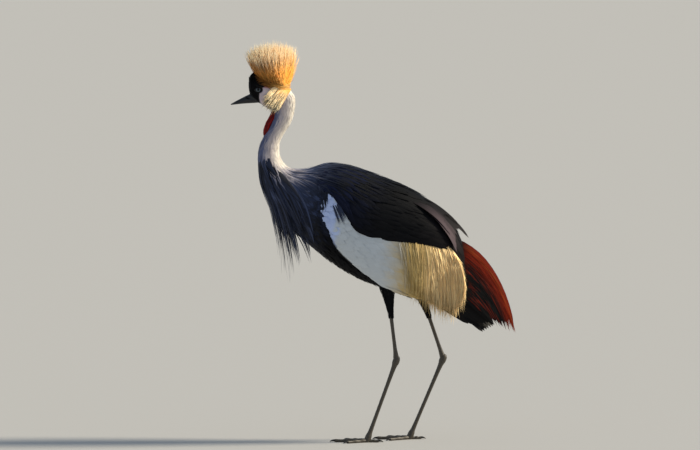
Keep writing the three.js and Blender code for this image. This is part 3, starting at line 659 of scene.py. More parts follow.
def feathers(name, line, out, half, thick, tint, home, profile=TUFT, camber=0.0, look=None, soft=0.7):
    """One object of many closed feathers. line and out hold each feather's points from root to
    tip and the way they face. half is their half width, and home their root's place on the
    skin's unwrap. soft is how far a feather takes its light as the coat round it does."""
    n, k = line.shape[:2]
    half = np.broadcast_to(half, (n, k))
    along = unit(np.gradient(line, axis=1))
    across = unit(np.cross(along, out))
    up = np.cross(across, along)
    s, h = np.array(profile, float).T
    m, rings = len(s), k - 1
    body = thick * np.clip(half / half.max(), 0.3, 1)
    wide = half[:, :rings, None] * s
    high = body[:, :rings, None] * h - camber * half[:, :rings, None] * s**2
    ring = line[:, :rings, None] + across[:, :rings, None] * wide[..., None]
    ring = ring + up[:, :rings, None] * high[..., None]
    places = np.concatenate([ring.reshape(n, -1, 3), line[:, -1:]], 1)
    i = np.arange(m)
    j = (i + 1) % m
    faces = []
    for r in range(rings - 1):
        near, far = r * m, (r + 1) * m
        faces += [np.stack([near + i, near + j, far + j], 1), np.stack([near + i, far + j, far + i], 1)]
    tip = rings * m
    faces.append(np.stack([tip - m + i, tip - m + j, np.full(m, tip)], 1))
    q = np.arange(1, m - 1)
    faces.append(np.stack([0 * q, q + 1, q], 1))
    pattern = np.concatenate(faces)
    all_faces = (pattern[None] + (np.arange(n) * (tip + 1))[:, None, None]).reshape(-1, 3)
    u = np.append(np.tile((s + 1) / 2, rings), 0.5)
    v = np.append(np.repeat(np.arange(rings) / rings, m), 1.0)
    tint = np.asarray(tint, float)
    tint = np.broadcast_to(tint if tint.ndim == 3 else tint[:, None], (n, k, 3))
    colours = np.concatenate([np.repeat(tint[:, :rings], m, 1), tint[:, -1:]], 1)
    bake = home[:, None] + UV_PATCH * (np.stack([u, v], 1) - 0.5)

    mesh = bpy.data.meshes.new(name)
    mesh.vertices.add(n * (tip + 1))
    mesh.vertices.foreach_set("co", (places * MM).astype(np.float32).ravel())
    mesh.loops.add(all_faces.size)
    mesh.loops.foreach_set("vertex_index", all_faces.astype(np.int32).ravel())
    mesh.polygons.add(len(all_faces))
    mesh.polygons.foreach_set("loop_start", np.arange(0, all_faces.size, 3, dtype=np.int32))
    mesh.update(calc_edges=True)
    mesh.shade_smooth()
    # The top of a feather faces out and the underside in, with a soft crown from edge to edge
    faces_out = unit(up * (1 - soft) + out * soft)
    crown = across[:, :rings, None] * s[:, None] * (0.35 - 0.28 * soft)
    normal = unit(faces_out[:, :rings, None] + crown).reshape(n, -1, 3)
    normal = np.concatenate([normal, faces_out[:, -1:]], 1)
    over = np.concatenate([np.tile(h[i] + h[j] > 0, 2 * rings - 1), np.zeros(m - 2, bool)])
    normal = normal[:, pattern] * np.where(over, 1, -1)[:, None, None]
    mesh.normals_split_custom_set(normal.reshape(-1, 3))
    for layer, place in (("OFBake", bake.reshape(-1, 2)), ("Vane", np.tile(np.stack([u, v], 1), (n, 1)))):
        made = mesh.uv_layers.new(name=layer)
        made.data.foreach_set("uv", place[all_faces.ravel()].astype(np.float32).ravel())
    tint_points(mesh, colours.reshape(-1, 3))
    mesh.materials.append(look)
    made = bpy.data.objects.new(name, mesh)
    bpy.context.collection.objects.link(made)
    return made


def home_of(t, turn):
    """A root's place on the unwrap of the body's skin, its length across and its girth up."""
    return np.stack([UV_EDGE + 0.7 * t / LAST, UV_EDGE + UV_GIRTH * (turn + 180) / 360], -1)


def head_home(u, turn):
    return np.stack([0.76 + 0.22 * u / HEAD_LAST, UV_EDGE + UV_GIRTH * ((turn + 180) % 360) / 360], -1)


def feather_look(
    name, rough, sheen=0.0, sheen_tint=(1, 1, 1), barbs=60, contrast=0.3, depth=0.25, gloss=0.18
):
    """Fine barbs that slant off a shaft, some lighter and some darker."""
    made, shader = paint(name, (0.5, 0.5, 0.5), rough)
    shader.inputs["Specular IOR Level"].default_value = gloss
    shader.inputs["Sheen Weight"].default_value = sheen
    shader.inputs["Sheen Tint"].default_value = (*sheen_tint, 1)
    shader.inputs["Sheen Roughness"].default_value = 0.4
    chart = node(made, "ShaderNodeUVMap")
    chart.uv_map = "Vane"
    parts = node(made, "ShaderNodeSeparateXYZ", Vector=chart.outputs[0])
    from_shaft = node(made, "ShaderNodeMath", "SUBTRACT", _0=parts.outputs[0], _1=0.5)
    off = node(made, "ShaderNodeMath", "ABSOLUTE", _0=from_shaft.outputs[0])
    slant = node(made, "ShaderNodeMath", "MULTIPLY_ADD", _0=off.outputs[0], _1=-0.55, _2=parts.outputs[1])
    line = node(made, "ShaderNodeCombineXYZ", X=slant.outputs[0], Y=from_shaft.outputs[0])
    stretch = node(made, "ShaderNodeVectorMath", "MULTIPLY", _0=line.outputs[0], _1=(barbs, 2.5, 1))
    # The streaks move on with the place, so that no two feathers are alike
    place = node(made, "ShaderNodeTexCoord").outputs["Object"]
    shift = node(made, "ShaderNodeVectorMath", "MULTIPLY_ADD", _0=place, _1=(9, 9, 9), _2=stretch.outputs[0])
    streak = node(made, "ShaderNodeTexNoise", Vector=shift.outputs[0], Scale=1, Detail=3)
    mottle(made, shader, streak.outputs[0], 1 - contrast, 1 + contrast, From_Min=0.25, From_Max=0.75)
    bump(made, shader, streak.outputs[0], 0.5, depth)
    return made


def vary(colours, rng, amount=0.12):
    """Makes each feather a little lighter or darker than the next."""
    return colours * (1 + amount * (rng.random((len(colours), 1)) * 2 - 1))


def laid_flat(way, out):
    """A direction, turned so that it lies flat on a surface that faces out."""
    way = np.array(way, float)
    return unit(way - out * (way * out).sum(-1, keepdims=True))


rng = np.random.default_rng(11)
velvet_u = rng.uniform(0.01, 6.5, VELVET_TRIES)
velvet_turn = rng.uniform(-180, 180, VELVET_TRIES)
roots = head_at(velvet_u, velvet_turn)
x, y, z = roots.T
black_part = face(roots).max(-1) < 0.25
clear_of_eye = (np.hypot((x - EYE_X) / 1.12, z - EYE_Z) > 8.8) | (np.abs(y) < 8)
off_bill = (x > -305) | (z > 868) | (z < 846)
under_crest = (x > -270) & (z > 894)
off_cheek = np.maximum(bare_cheek(x, z), bare_cheek(x + 4, z)) < 0.3
keep = black_part & clear_of_eye & off_bill & ~under_crest & off_cheek
velvet_u, velvet_turn, roots = velvet_u[keep], velvet_turn[keep], roots[keep]
stands = outward(head_at, velvet_u, velvet_turn)
# The blunt front of the brow has tufts of its own
brow_turn, brow_u = rng.uniform(-180, 180, BROW_TUFTS), np.zeros(BROW_TUFTS)
brow_middle = head_at(np.zeros(36), np.arange(0.0, 360, 10)).mean(0)
brow_edge = head_at(brow_u, brow_turn) - brow_middle
brow_front = brow_middle + brow_edge * 1.12 * np.sqrt(rng.random((BROW_TUFTS, 1)))
roots = np.concatenate([roots, brow_front])
velvet_u, velvet_turn = np.append(velvet_u, brow_u), np.append(velvet_turn, brow_turn)
stands = np.concatenate([stands, np.tile([-1.0, 0, 0], (BROW_TUFTS, 1))])
lie = laid_flat([1.0, 0, 0.15], stands)
on_top = wash(892, 908, roots[:, 2])[:, None]
lie = unit(lie * (1 - 0.3 * on_top) + stands * (0.3 + 0.5 * on_top))
a = np.linspace(0, 1, 4)[None, :, None]
velvet_long = (4.5 + 3.5 * on_top * rng.random((len(roots), 1)))[..., None]
velvet_line = roots[:, None] - stands[:, None] * 0.8 + lie[:, None] * velvet_long * a
velvet_look = feather_look("velvet", 0.85, sheen=0.12, contrast=0.2, gloss=0.1)
velvet = feathers(
    "face_velvet",
    velvet_line,
    stands[:, None],
    1.05 * petal(4, 0.7, 0.4)[None],
    0.4,
    vary(np.tile(VELVET, (len(roots), 1)), rng, 0.4),
    head_home(velvet_u, velvet_turn),
    look=velvet_look,
)
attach(velvet, "root")

# Crest
# A crown of stiff straw-gold bristles that fans up from the back of the head. Each is a flat
# twisted filament, brown-orange at its root and pale at its tip. The brown at the front is partly
# painted shade, and the bright gold at the rear partly painted sunlight from behind.

CREST_TRIES, CREST_COUNT = 18000, 4600
# The crown that the bristles grow from: its middle, and its reach fore and aft and to each side
CROWN_MIDDLE, CROWN_REACH, CROWN_HALF = -246, 42, 25
# The brush over the head: middle and reach fore and aft at the tips, half width, top and dome
CREST_MIDDLE, CREST_REACH, CREST_HALF, CREST_TOP, CREST_DOME = -250, 66, 56, 1007, 25
# Roots and bristles come in a painted shaded front copy and a painted sunlit rear copy
ROOT_SHADED_FRONT, ROOT_SUNLIT_REAR = ink("7A4A20"), ink("E09A40")
BRISTLE_SHADED_FRONT, BRISTLE_SUNLIT_GOLD, BRISTLE_TIP = ink("F4AA52"), ink("FFB442"), ink("FFF0CB")
# The place on the nape that the low bristles spring from
CREST_FOCUS = np.array([-214.0, 0, 886])


def side_reach(x, z):
    """How far the skin reaches to the side, at places in the side view."""
    flat_x, flat_z = x.ravel(), z.ravel()
    hide_near = points[(points[:, 1] > 0) & (points[:, 0] < -180) & (points[:, 2] > 770)]
    reach = np.zeros(len(flat_x))
    # In runs of 400, so that the table of distances stays small
    for k in range(0, len(flat_x), 400):
        dx = flat_x[k : k + 400, None] - hide_near[:, 0]
        dz = flat_z[k : k + 400, None] - hide_near[:, 2]
        reach[k : k + 400] = np.where(dx**2 + dz**2 < 20, hide_near[:, 1], 0).max(1)
    return reach.reshape(x.shape)


def bowed(a, root, bend, tip):
    """A place on a bowed line, with a from 0 at the root to 1 at the tip."""
    return (1 - a) ** 2 * root + 2 * a * (1 - a) * bend + a**2 * tip


rng = np.random.default_rng(23)
crown_u = rng.uniform(2.7, 8.5, CREST_TRIES)
crown_turn = rng.uniform(-90, 90, CREST_TRIES)
crest_root = head_at(crown_u, crown_turn)
base = np.interp(crest_root[:, 0], [-290, -276, -264, -206], [916, 896, 890, 887])
wanted = np.flatnonzero(crest_root[:, 2] > base)[:CREST_COUNT]
crown_u, crown_turn, crest_root = crown_u[wanted], crown_turn[wanted], crest_root[wanted]
n = len(wanted)
aft, side = (crest_root[:, 0] - CROWN_MIDDLE) / CROWN_REACH, crest_root[:, 1] / CROWN_HALF
spread = np.clip(np.hypot(aft, side), 0, 1.15)
target = [
    CREST_MIDDLE + CREST_REACH * aft + rng.normal(0, 4, n),
    CREST_HALF * side + rng.normal(0, 4, n),
    CREST_TOP - CREST_DOME * spread**2.4 - 5 * np.abs(side),
]
target = np.stack(target, -1)
# Bristles end at every height, so their pale tips show all over the brush
tall = rng.random(n) < 0.28
grown = np.where(tall, rng.uniform(0.88, 1.04, n), rng.uniform(0.25, 0.93, n))
target = crest_root + (target - crest_root) * grown[:, None]
# Some of the hindmost ones droop out of the brush
astray = (aft > 0.5) & (rng.random(n) < 0.12)
droop = [rng.uniform(4, 18, astray.sum()), 0 * aft[astray], -rng.uniform(2, 16, astray.sum())]
target[astray] += np.stack(droop, -1)
reach = np.linalg.norm(target - crest_root, axis=-1)
a = np.linspace(0, 1, 7)[None, :, None]
bow = rng.normal(0, 0.07, (n, 1, 3)) * reach[:, None, None]
wave = rng.normal(0, 2.0, (n, 1, 3)) * np.sin(a * rng.uniform(5, 12, (n, 1, 1)))
brush_out = unit(np.stack([0.7 * aft, 0.9 * side, 0.25 + 0.9 * (1 - spread / 1.15)], -1))
# The low ones spring from the nape, sweep forward over the side of the crown and then turn up
sweep = (rng.uniform(0.05, 0.85, n) * wash(0.6, 0.95, np.abs(side)))[:, None]
start = crest_root + (CREST_FOCUS - crest_root) * sweep * [1, 0, 1]
aside = np.sign(side) * (side_reach(start[:, 0], start[:, 2]) + 0.5)
start[:, 1] += (aside - start[:, 1]) * np.minimum(3 * sweep[:, 0], 1)
control = crest_root + (target - crest_root) * 0.3 + brush_out * (9 * spread[:, None])
crest_line = bowed(a, start[:, None], control[:, None], target[:, None])
crest_line = crest_line + bow * (a**2 - a) * 1.4 + wave * a
# The bristles let the light through, so they are lit as if they leaned back towards it
crest_out = unit(brush_out + [0.75, 0, 0.45])[:, None]
share = a[..., 0] * grown[:, None]
# The rear bristles are painted lighter as sunlight from behind, and the front ones darker as painted shade
sunlit_rear = wash(-0.5, 0.7, aft)[:, None]
root_in_light_and_shade = blend(ROOT_SHADED_FRONT, ROOT_SUNLIT_REAR, sunlit_rear)
crest_tint = blend(root_in_light_and_shade, blend(BRISTLE_SHADED_FRONT, BRISTLE_SUNLIT_GOLD, sunlit_rear), wash(0.03, 0.36, share + 0.22 * sunlit_rear))
pale_tip = wash(0.62, 1.1, share + 0.3 * rng.random((n, 1)) - 0.12 * sunlit_rear)
own_tip = wash(0.8, 1.0, a[..., 0]) * wash(0.3, 0.7, share)
crest_tint = blend(crest_tint, BRISTLE_TIP, np.maximum(pale_tip, 0.6 * own_tip))
crest_tint = crest_tint * (0.66 + 0.6 * rng.random((n, 1, 1)))
crest_look = feather_look(
    "bristle", 0.55, sheen=0.25, sheen_tint=(1, 0.9, 0.7), barbs=22, contrast=0.6, depth=0.1
)
crest = feathers(
    "crest_bristles",
    crest_line,
    crest_out,
    0.42 * np.array([0.8, 1, 1, 0.95, 0.85, 0.7, 0.4])[None],
    0.4,
    crest_tint,
    head_home(crown_u, crown_turn),
    profile=STRAND,
    look=crest_look,
    soft=0.8,
)
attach(crest, "root")
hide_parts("crest")

# Brown strands run forward from the nape over the side of the crown, under the brush. Their gold at
# the nape is painted sunlight, and their dark brown in front partly painted shade.
BROW_COUNT = 760
BROW_TIPS = [[-262, 892], [-278, 897], [-291, 907], [-295, 919], [-286, 930], [-270, 936]]
BROW_SUNLIT_ROOT, BROW_SHADED_TIP = ink("FFBE60"), ink("A0682E")


def strand_home(root, sign):
    """A root's place on the unwrap, for a strand that springs from the nape."""
    across = np.interp(root[:, 0], [-234, -204], [6, 8.5])
    return head_home(across, sign * np.interp(root[:, 1], [878, 898], [80, 40]))


def to_side(sign, back, aside, up):
    """The way that strands face, each on its own side of the head."""
    return unit(np.stack([back + 0 * sign, aside * sign, up + 0 * sign], -1))[:, None]


rng = np.random.default_rng(29)
n = BROW_COUNT
sign = np.where(np.arange(n) % 2 == 0, -1.0, 1.0)
c = rng.random(n)
root = np.stack([rng.uniform(-240, -204, n), 887 + 12 * c + rng.normal(0, 2.5, n)], -1)
tip = rows_at(BROW_TIPS, 5 * c) + rng.normal(0, 2.2, (n, 2))
tip = root + (tip - root) * rng.uniform(0.55, 1.03, n)[:, None]
a = np.linspace(0, 1, 8)[None]
line = root[:, None] + (tip - root)[:, None] * a[..., None]
x, z = line[..., 0], line[..., 1] + rng.uniform(-4, 7, (n, 1)) * (a - a**2) * 4
y = side_reach(x, z) + 2.4 + 3.2 * rng.random((n, 1)) * np.sin(a * 2.6 + 0.4)
line = np.stack([x, sign[:, None] * y, z], -1)
# Gold at the nape root as painted sunlight, dark brown at the tip partly as painted shade
brow_tint = blend(BROW_SUNLIT_ROOT, BROW_SHADED_TIP, wash(0.1, 0.75, a)) * rng.uniform(0.4, 1.35, (n, 1, 1))
brow = feathers(
    "brow_strands",
    line,
    to_side(sign, 0.5, 0.9, 0.5),
    0.45 * np.array([0.7, 1, 1, 1, 0.9, 0.8, 0.6, 0.3])[None],
    0.4,
    brow_tint,
    strand_home(root, sign),
    profile=STRAND,
    look=crest_look,
)
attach(brow, "root")

# Wattle
# A soft bag of bare crimson skin that hangs from the throat over the front of the neck, creased
# down its length, with a bead-like surface.

# x, y, z, reach fore and aft, half width
WATTLE = [
    [-245, 0, 828, 6, 5],
    [-251, 0, 811, 8.5, 7.5],
    [-258, 0, 796, 9.5, 9],
    [-264, 0, 782, 9, 9],
    [-268, 0, 770, 6, 6.5],
    [-270, 0, 764, 1.8, 2],
]
CRIMSON, CRIMSON_CREASE_SHADE = ink("8E0904"), ink("420101")
s, turn = grid(len(WATTLE) - 1, 80, 72)
wattle_rings = limb_at(WATTLE, s, turn)
wattle_core = rows_at(WATTLE, s)[..., :3]
crease = 0.5 + 0.5 * np.cos(np.radians(turn * 5) + 1.3 * np.sin(s * 2.3))
ripple = 0.5 + 0.5 * np.sin(s * 9 + 2 * np.sin(np.radians(turn * 2)))
sag = 1 - 0.10 * crease - 0.05 * ripple * wash(0, 1, s) * (1 - wash(4.6, 5, s))
wattle = tube("wattle_bag", wattle_core + (wattle_rings - wattle_core) * sag[..., None])
# The creases and dents are painted darker, as painted shade in the hollows
tint_rings(wattle, blend(CRIMSON, CRIMSON_CREASE_SHADE, np.clip(0.7 * crease + 0.2 * ripple, 0, 1)), CRIMSON)
wattle_look = lit("wattle_skin", 0.45, strength=0.7, scale=1100, reach=0.5, gloss=0.2)
wattle.data.materials.append(wattle_look)
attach(wattle, "root")
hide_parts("wattle")

# Neck coat
# Short soft feathers lie down the neck like fur, pearl behind, mauve at the side and slate in
# front: partly their own grey, partly painted sunlight behind and painted shade in front. Lower
# down they grow long and narrow and turn dark.

# Where the stations crowd together, a feather still counts on this many millimetres to each
LEAST_PACE = 14


def pace_of(place, t, turn):
    """How many millimetres a station is long, at places on a surface."""
    return np.linalg.norm(place(t + 0.05, turn) - place(t - 0.05, turn), axis=-1) / 0.1


def tiers(first, last, pitch, low, high, rng, place=body_at):
    """Rows of roots over a surface, each row set between the roots of the row before. pitch gives
    the millimetres along and across, and low and high the turns that a row covers."""
    t, odd, stations, turns = first, 0, [], []
    while t < last:
        ahead, side = pitch(t)
        sweep = np.linspace(low(t), high(t), 91)
        ring = place(np.full(91, t), sweep)
        arc = np.concatenate([[0], np.cumsum(np.linalg.norm(np.diff(ring, axis=0), axis=1))])
        count = max(int(arc[-1] / side), 1)
        at = (np.arange(count) + 0.25 + 0.5 * odd + rng.uniform(-0.25, 0.25, count)) / count
        turns.append(np.interp(at * arc[-1], arc, sweep))
        pace = pace_of(place, t, 100.0)
        stations.append(t + rng.uniform(-0.3, 0.3, count) * ahead / pace)
        t, odd = t + ahead / pace, 1 - odd
    return np.concatenate(stations), np.concatenate(turns)


def laid(place, t, turn, length, count, rise, sink=2.0, drift=0.0, edge=None):
    """Lines that lie on a surface from root to tip, and the way the surface faces there. They
    keep their share of the way out to an edge, where one is given."""
    a = np.linspace(0, 1, count)[None]
    run = np.minimum(length / np.maximum(pace_of(place, t, turn), LEAST_PACE), 3.2)[:, None]
    stations = t[:, None] + run * a
    turns = turn[:, None] + np.reshape(drift, (-1, 1)) * a
    if edge:
        turns = turns * edge(stations) / edge(t)[:, None]
    out = outward(place, stations, turns)
    lift = -sink + (np.reshape(rise, (-1, 1)) + sink) * a**0.8
    return place(stations, turns) + out * lift[..., None], out


rng = np.random.default_rng(31)
t, turn = tiers(0.7, 8.8, lambda t: (4.6 + 0.5 * t, 2.6 + 0.12 * t), lambda t: -180, lambda t: 180, rng)
under_chin = (t < 2.4) & (np.abs(turn) > 90)
t, turn = t[~under_chin], turn[~under_chin]
length = (13 + 2.4 * t) * rng.uniform(0.8, 1.2, len(t))
line, out = laid(body_at, t, turn, length, 5, 0.9 + 0.5 * rng.random(len(t)), 1.6, rng.normal(0, 5, len(t)))
stray = rng.normal(0, 0.45, len(t))

# The nape, from the crest down to where the neck's own rows begin
NAPE_TRIES = 900
nape_u, nape_turn = rng.uniform(5.4, 8.95, NAPE_TRIES), rng.uniform(-180, 180, NAPE_TRIES)
nape_root = head_at(nape_u, nape_turn)
on_nape = (nape_root[:, 2] < 896) & (nape_root[:, 0] > -216 - 0.63 * (881 - nape_root[:, 2]))
nape_u, nape_turn, nape_root = nape_u[on_nape], nape_turn[on_nape], nape_root[on_nape]
nape_out = outward(head_at, nape_u, nape_turn)
nape_way = laid_flat([0.15, 0, -1.0], nape_out)
a = np.linspace(0, 1, 5)[None, :, None]
nape_line = nape_root[:, None] + 15 * nape_way[:, None] * a + nape_out[:, None] * (2.6 * a - 1.4)
nape_t, nape_round = nearest_station(nape_root)
line, out = np.concatenate([line, nape_line]), np.concatenate([out, np.repeat(nape_out[:, None], 5, 1)])
homes = np.concatenate([home_of(t, turn), head_home(nape_u, nape_turn)])
t, turn = np.concatenate([t, nape_t]), np.concatenate([turn, nape_round])
stray = np.concatenate([stray, 0 * nape_t])
neck_look = feather_look("neck_feather", 0.75, sheen=0.3, sheen_tint=(0.95, 0.95, 1), contrast=0.16)
neck_coat = feathers(
    "neck_coat",
    line,
    out,
    (1.5 + 0.12 * t)[:, None] * petal(5, 0.5, 0.4, 0.8),
    0.45,
    vary(plumage(t, turn, stray), rng),
    homes,
    look=neck_look,
)
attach(neck_coat, "root")

# Golden cheek strands
# Fine straw-coloured filaments spring from the nape below the crest and fall forward and down
# over the back of the cheek. A few black feather tips show between them at the throat.

# Where roots and tips lie in the side view, each from the brow side to the neck side
STRAND_ROOTS = [[-230, 896], [-222, 894], [-213, 889], [-206, 881]]
STRAND_TIPS = [
    [-250, 885],
    [-259, 875],
    [-267, 862],
    [-274, 849],
    [-272, 839],
    [-262, 831],
    [-252, 822],
    [-242, 824],
    [-234, 836],
]
STRAND_COUNT = 1300
STRAND_ROOT, STRAND_TIP = ink("FFBE5A"), ink("FFEBC0")
rng = np.random.default_rng(37)
n = STRAND_COUNT
sign = np.where(np.arange(n) % 2 == 0, -1.0, 1.0)
c = rng.random(n) ** 0.8
root = rows_at(STRAND_ROOTS, 3 * np.clip(c + rng.normal(0, 0.12, n), 0, 1)) + rng.normal(0, 1.2, (n, 2))
tip = rows_at(STRAND_TIPS, 8 * c) + rng.normal(0, 2.6, (n, 2))
grown = np.where(rng.random(n) < 0.5, rng.uniform(0.9, 1.04, n), rng.uniform(0.45, 0.95, n))
tip = root + (tip - root) * grown[:, None]
a = np.linspace(0, 1, 8)[None]
line = root[:, None] + (tip - root)[:, None] * a[..., None]
sag = rng.uniform(-0.03, 0.12, (n, 1)) * np.linalg.norm(tip - root, axis=-1, keepdims=True) * (a - a**2) * 4
x, z = line[..., 0], line[..., 1] + sag
y = side_reach(x, z)
y = np.maximum(y, np.maximum.accumulate(y, 1) * 0.86) + 1.4 + (1 + 3.5 * rng.random((n, 1))) * a
line = np.stack([x, sign[:, None] * y, z], -1)
strand_tint = blend(STRAND_ROOT, STRAND_TIP, wash(0.15, 0.85, a)) * rng.uniform(0.85, 1.45, (n, 1, 1))
# Black feather tips of the throat show between the strands
black_tip = (c > 0.35) & (c < 0.9) & (rng.random(n) < 0.5)
strand_tint = blend(strand_tint, VELVET, black_tip[:, None] * wash(0.42, 0.6, a))
cheek_strands = feathers(
    "cheek_strands",
    line,
    to_side(sign, 0.8, 0.8, 0.5),
    0.5 * np.array([0.6, 1, 1, 1, 0.9, 0.8, 0.6, 0.3])[None],
    0.4,
    strand_tint,
    strand_home(root, sign),
    profile=STRAND,
    look=crest_look,
)
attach(cheek_strands, "root")

# Hackles
# Long narrow feathers of the lower neck, slate grey with dark edges, drape over the shoulders
# and the breast and hide where the neck meets the body.

rng = np.random.default_rng(41)
t, turn = tiers(7.6, 11.6, lambda t: (8, 6.5), lambda t: -180, lambda t: 180, rng)
length = np.interp(t, [7.6, 9, 11.6], [44, 78, 84]) * rng.uniform(0.75, 1.2, len(t))
drift = np.sign(turn) * np.interp(np.abs(turn), [0, 60, 120, 180], [2, 14, 12, 0])
drift = drift * rng.uniform(0.4, 1.4, len(t))
pace = pace_of(saddle, t, turn)
wrist = wing_front(np.abs(turn)) + rng.uniform(0, 0.18, len(t))
at_wing = (np.abs(turn) > 52) & (np.abs(turn) < 122)
length = np.where(at_wing, np.minimum(length, np.maximum(wrist - t, 0.35) * pace), length)
line, out = laid(saddle, t, turn, length, 8, 1.5 + 3 * rng.random(len(t)), 2, drift)
a = np.linspace(0, 1, 8)
stations = t[:, None] + (length / np.maximum(pace, LEAST_PACE))[:, None] * a
turns = turn[:, None] + drift[:, None] * a
hackle_look = feather_look("hackle", 0.55, sheen=0.18, sheen_tint=(0.6, 0.72, 1), barbs=80, contrast=0.35)
hackle_tint = plumage(stations, turns, rng.normal(0, 0.5, (len(t), 1)))
hackle_tint = hackle_tint * rng.uniform(0.75, 1.25, (len(t), 1, 1)) * (1.15 - 0.35 * a[:, None])
hackles = feathers(
    "hackles",
    line,
    out,
    (2.5 + 1.2 * rng.random(len(t)))[:, None] * petal(8, 0.5, 0.35, 0.75),
    0.6,
    hackle_tint,
    home_of(t, turn),
    profile=VANE,
    camber=0.25,
    look=hackle_look,
)
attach(hackles, "root")

# Hanging plumes
# The longest feathers of the lower neck hang free in front of the breast. They are soft, narrow
# and pointed, in loose bunches that part towards the tips.


def over_body(points):
    """How high points stand off the body, and the way out from it."""
    flat = points.reshape(-1, 3)
    t, turn = nearest_station(flat)
    x, z, ax, az, up, down, half = body_ring(t)
    back = -(flat[:, 0] - x) * az + (flat[:, 2] - z) * ax
    share = np.hypot(back / np.where(back > 0, up, down), flat[:, 1] / half)
    far = np.hypot(back, flat[:, 1])
    out = unit(np.stack([-az * back, flat[:, 1], ax * back], -1))
    return (far * (1 - 1 / np.maximum(share, 1e-6))).reshape(points.shape[:-1]), out.reshape(points.shape)


# Station, number, bunches, turns covered, length, lean to the back
PLUME_TIERS = [
    (7.1, 50, 6, 84, 92, 0.85),
    (7.7, 56, 7, 94, 112, 0.75),
    (8.3, 64, 7, 106, 150, 0.48),
    (8.9, 66, 8, 104, 206, 0.13),
    (9.4, 60, 9, 96, 228, -0.02),
    (9.8, 36, 7, 86, 206, 0.0),
    (10.4, 36, 4, 66, 160, 0.06),
    (11.3, 34, 4, 56, 112, 0.1),
]
PLUME_POINTS = 12


def hang(t, turn, own, clear, sweep):
    """Plumes that leave the body at their roots and fall free of it, and the way they face."""
    point = body_at(t, turn, -3.0)
    along = unit(body_at(t + 0.2, turn, -2.8) - point)
    line, out = [point], []
    for k in range(PLUME_POINTS):
        out.append(over_body(point)[1])
        point = point + along * (own / PLUME_POINTS)[:, None]
        height, away_from = over_body(point)
        point = point + away_from * np.maximum(clear * (k + 1) / 5 - height, 0)[:, None]
        along = unit(along + (sweep - along) * 0.2)
        line.append(point)
    out.append(out[-1])
    return np.stack(line, 1), np.stack(out, 1)


rng = np.random.default_rng(43)
lines, outs, halves, tints, homes = [], [], [], [], []
a = np.linspace(0, 1, PLUME_POINTS + 1)
for tier_t, n, bunches, spread, long, lean in PLUME_TIERS:
    centre = np.linspace(-1, 1, bunches) + rng.uniform(-0.08, 0.08, bunches)
    bunch = rng.integers(0, bunches, n)
    place = np.clip(centre[bunch] + rng.normal(0, 0.55 / bunches, n), -1.1, 1.1)
    middle = [np.where(x < 0, -1, 1) * (180 - spread * np.abs(x)) for x in (centre, place)]
    back = [lean + 0.22 * np.clip((180 - np.abs(x)) / 100, 0, 1) for x in middle]
    reach = long * (1 - 0.3 * np.abs(centre)) * rng.uniform(0.86, 1.08, bunches)
    core, facing = hang(
        np.full(bunches, tier_t),
        middle[0],
        reach,
        np.full(bunches, 4.0),
        unit(np.stack([back[0] + 0.08 * rng.random(bunches), 0 * centre, -np.ones(bunches)], -1)),
    )
    t = tier_t + rng.uniform(-0.3, 0.3, n)
    own = reach[bunch] * rng.uniform(0.6, 1.06, n)
    sweep = unit(np.stack([back[1] + 0.1 * rng.random(n), 0.06 * rng.normal(0, 1, n), -np.ones(n)], -1))
    line, out = hang(t, middle[1], own, 1.5 + 4 * rng.random(n), sweep)
    # Each plume is drawn towards the middle line of its bunch, more and more to its tip
    pull = (0.72 * a**1.3)[:, None]
    share = np.clip(own / reach[bunch], 0, 1)
    rows = np.clip(a * share[:, None] * PLUME_POINTS, 0, PLUME_POINTS - 1e-6)
    low = rows.astype(int)
    part = (rows - low)[..., None]
    toward = core[bunch[:, None], low] * (1 - part) + core[bunch[:, None], low + 1] * part
    line = line + (toward - line) * pull
    lines.append(line)
    outs.append(out)
    halves.append((1.5 + 1.5 * rng.random(n))[:, None] * petal(PLUME_POINTS + 1, 0.6, 0.35, 0.8))
    tints.append(vary(blend(HACKLE, BLACK, rng.random(n) * 0.6 + 0.35), rng, 0.3))
    homes.append(home_of(t, middle[1]))
plumes = feathers(
    "hanging_plumes",
    np.concatenate(lines),
    np.concatenate(outs),
    np.concatenate(halves),
    0.5,
    np.concatenate(tints),
    np.concatenate(homes),
    camber=0.2,
    look=hackle_look,
)
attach(plumes, "root")

# Belly and thigh coat
# Close black feathers cover the breast, the belly and the thighs under the wings. They are broad
# and round-ended, and lie like tiles.

THIGH_FEATHERS = 620
rng = np.random.default_rng(47)
sides = []
for sign in (-1, 1):
    rows = tiers(
        10.2,
        17.6,
        lambda t: (11, 8.5),
        lambda t: sign * (60 if t < 11.8 else min(wing_at(t)[2] - 26, 130)),
        lambda t: sign * 180,
        rng,
    )
    sides.append(rows)
t, turn = (np.concatenate(both) for both in zip(*sides))
length = 38 * rng.uniform(0.8, 1.2, len(t))
line, out = laid(body_at, t, turn, length, 6, 2 + 3 * rng.random(len(t)), 4, rng.normal(0, 3, len(t)))
body_look = feather_look("body_feather", 0.7, contrast=0.3, gloss=0.1)
belly = feathers(
    "belly_coat",
    line,
    out,
    6.0 * petal(6, 0.5, 0.5, 0.5)[None],
    0.6,
    vary(plumage(t, turn), rng, 0.3),
    home_of(t, turn),
    profile=VANE,
    camber=0.15,
    look=body_look,
)
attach(belly, "root")

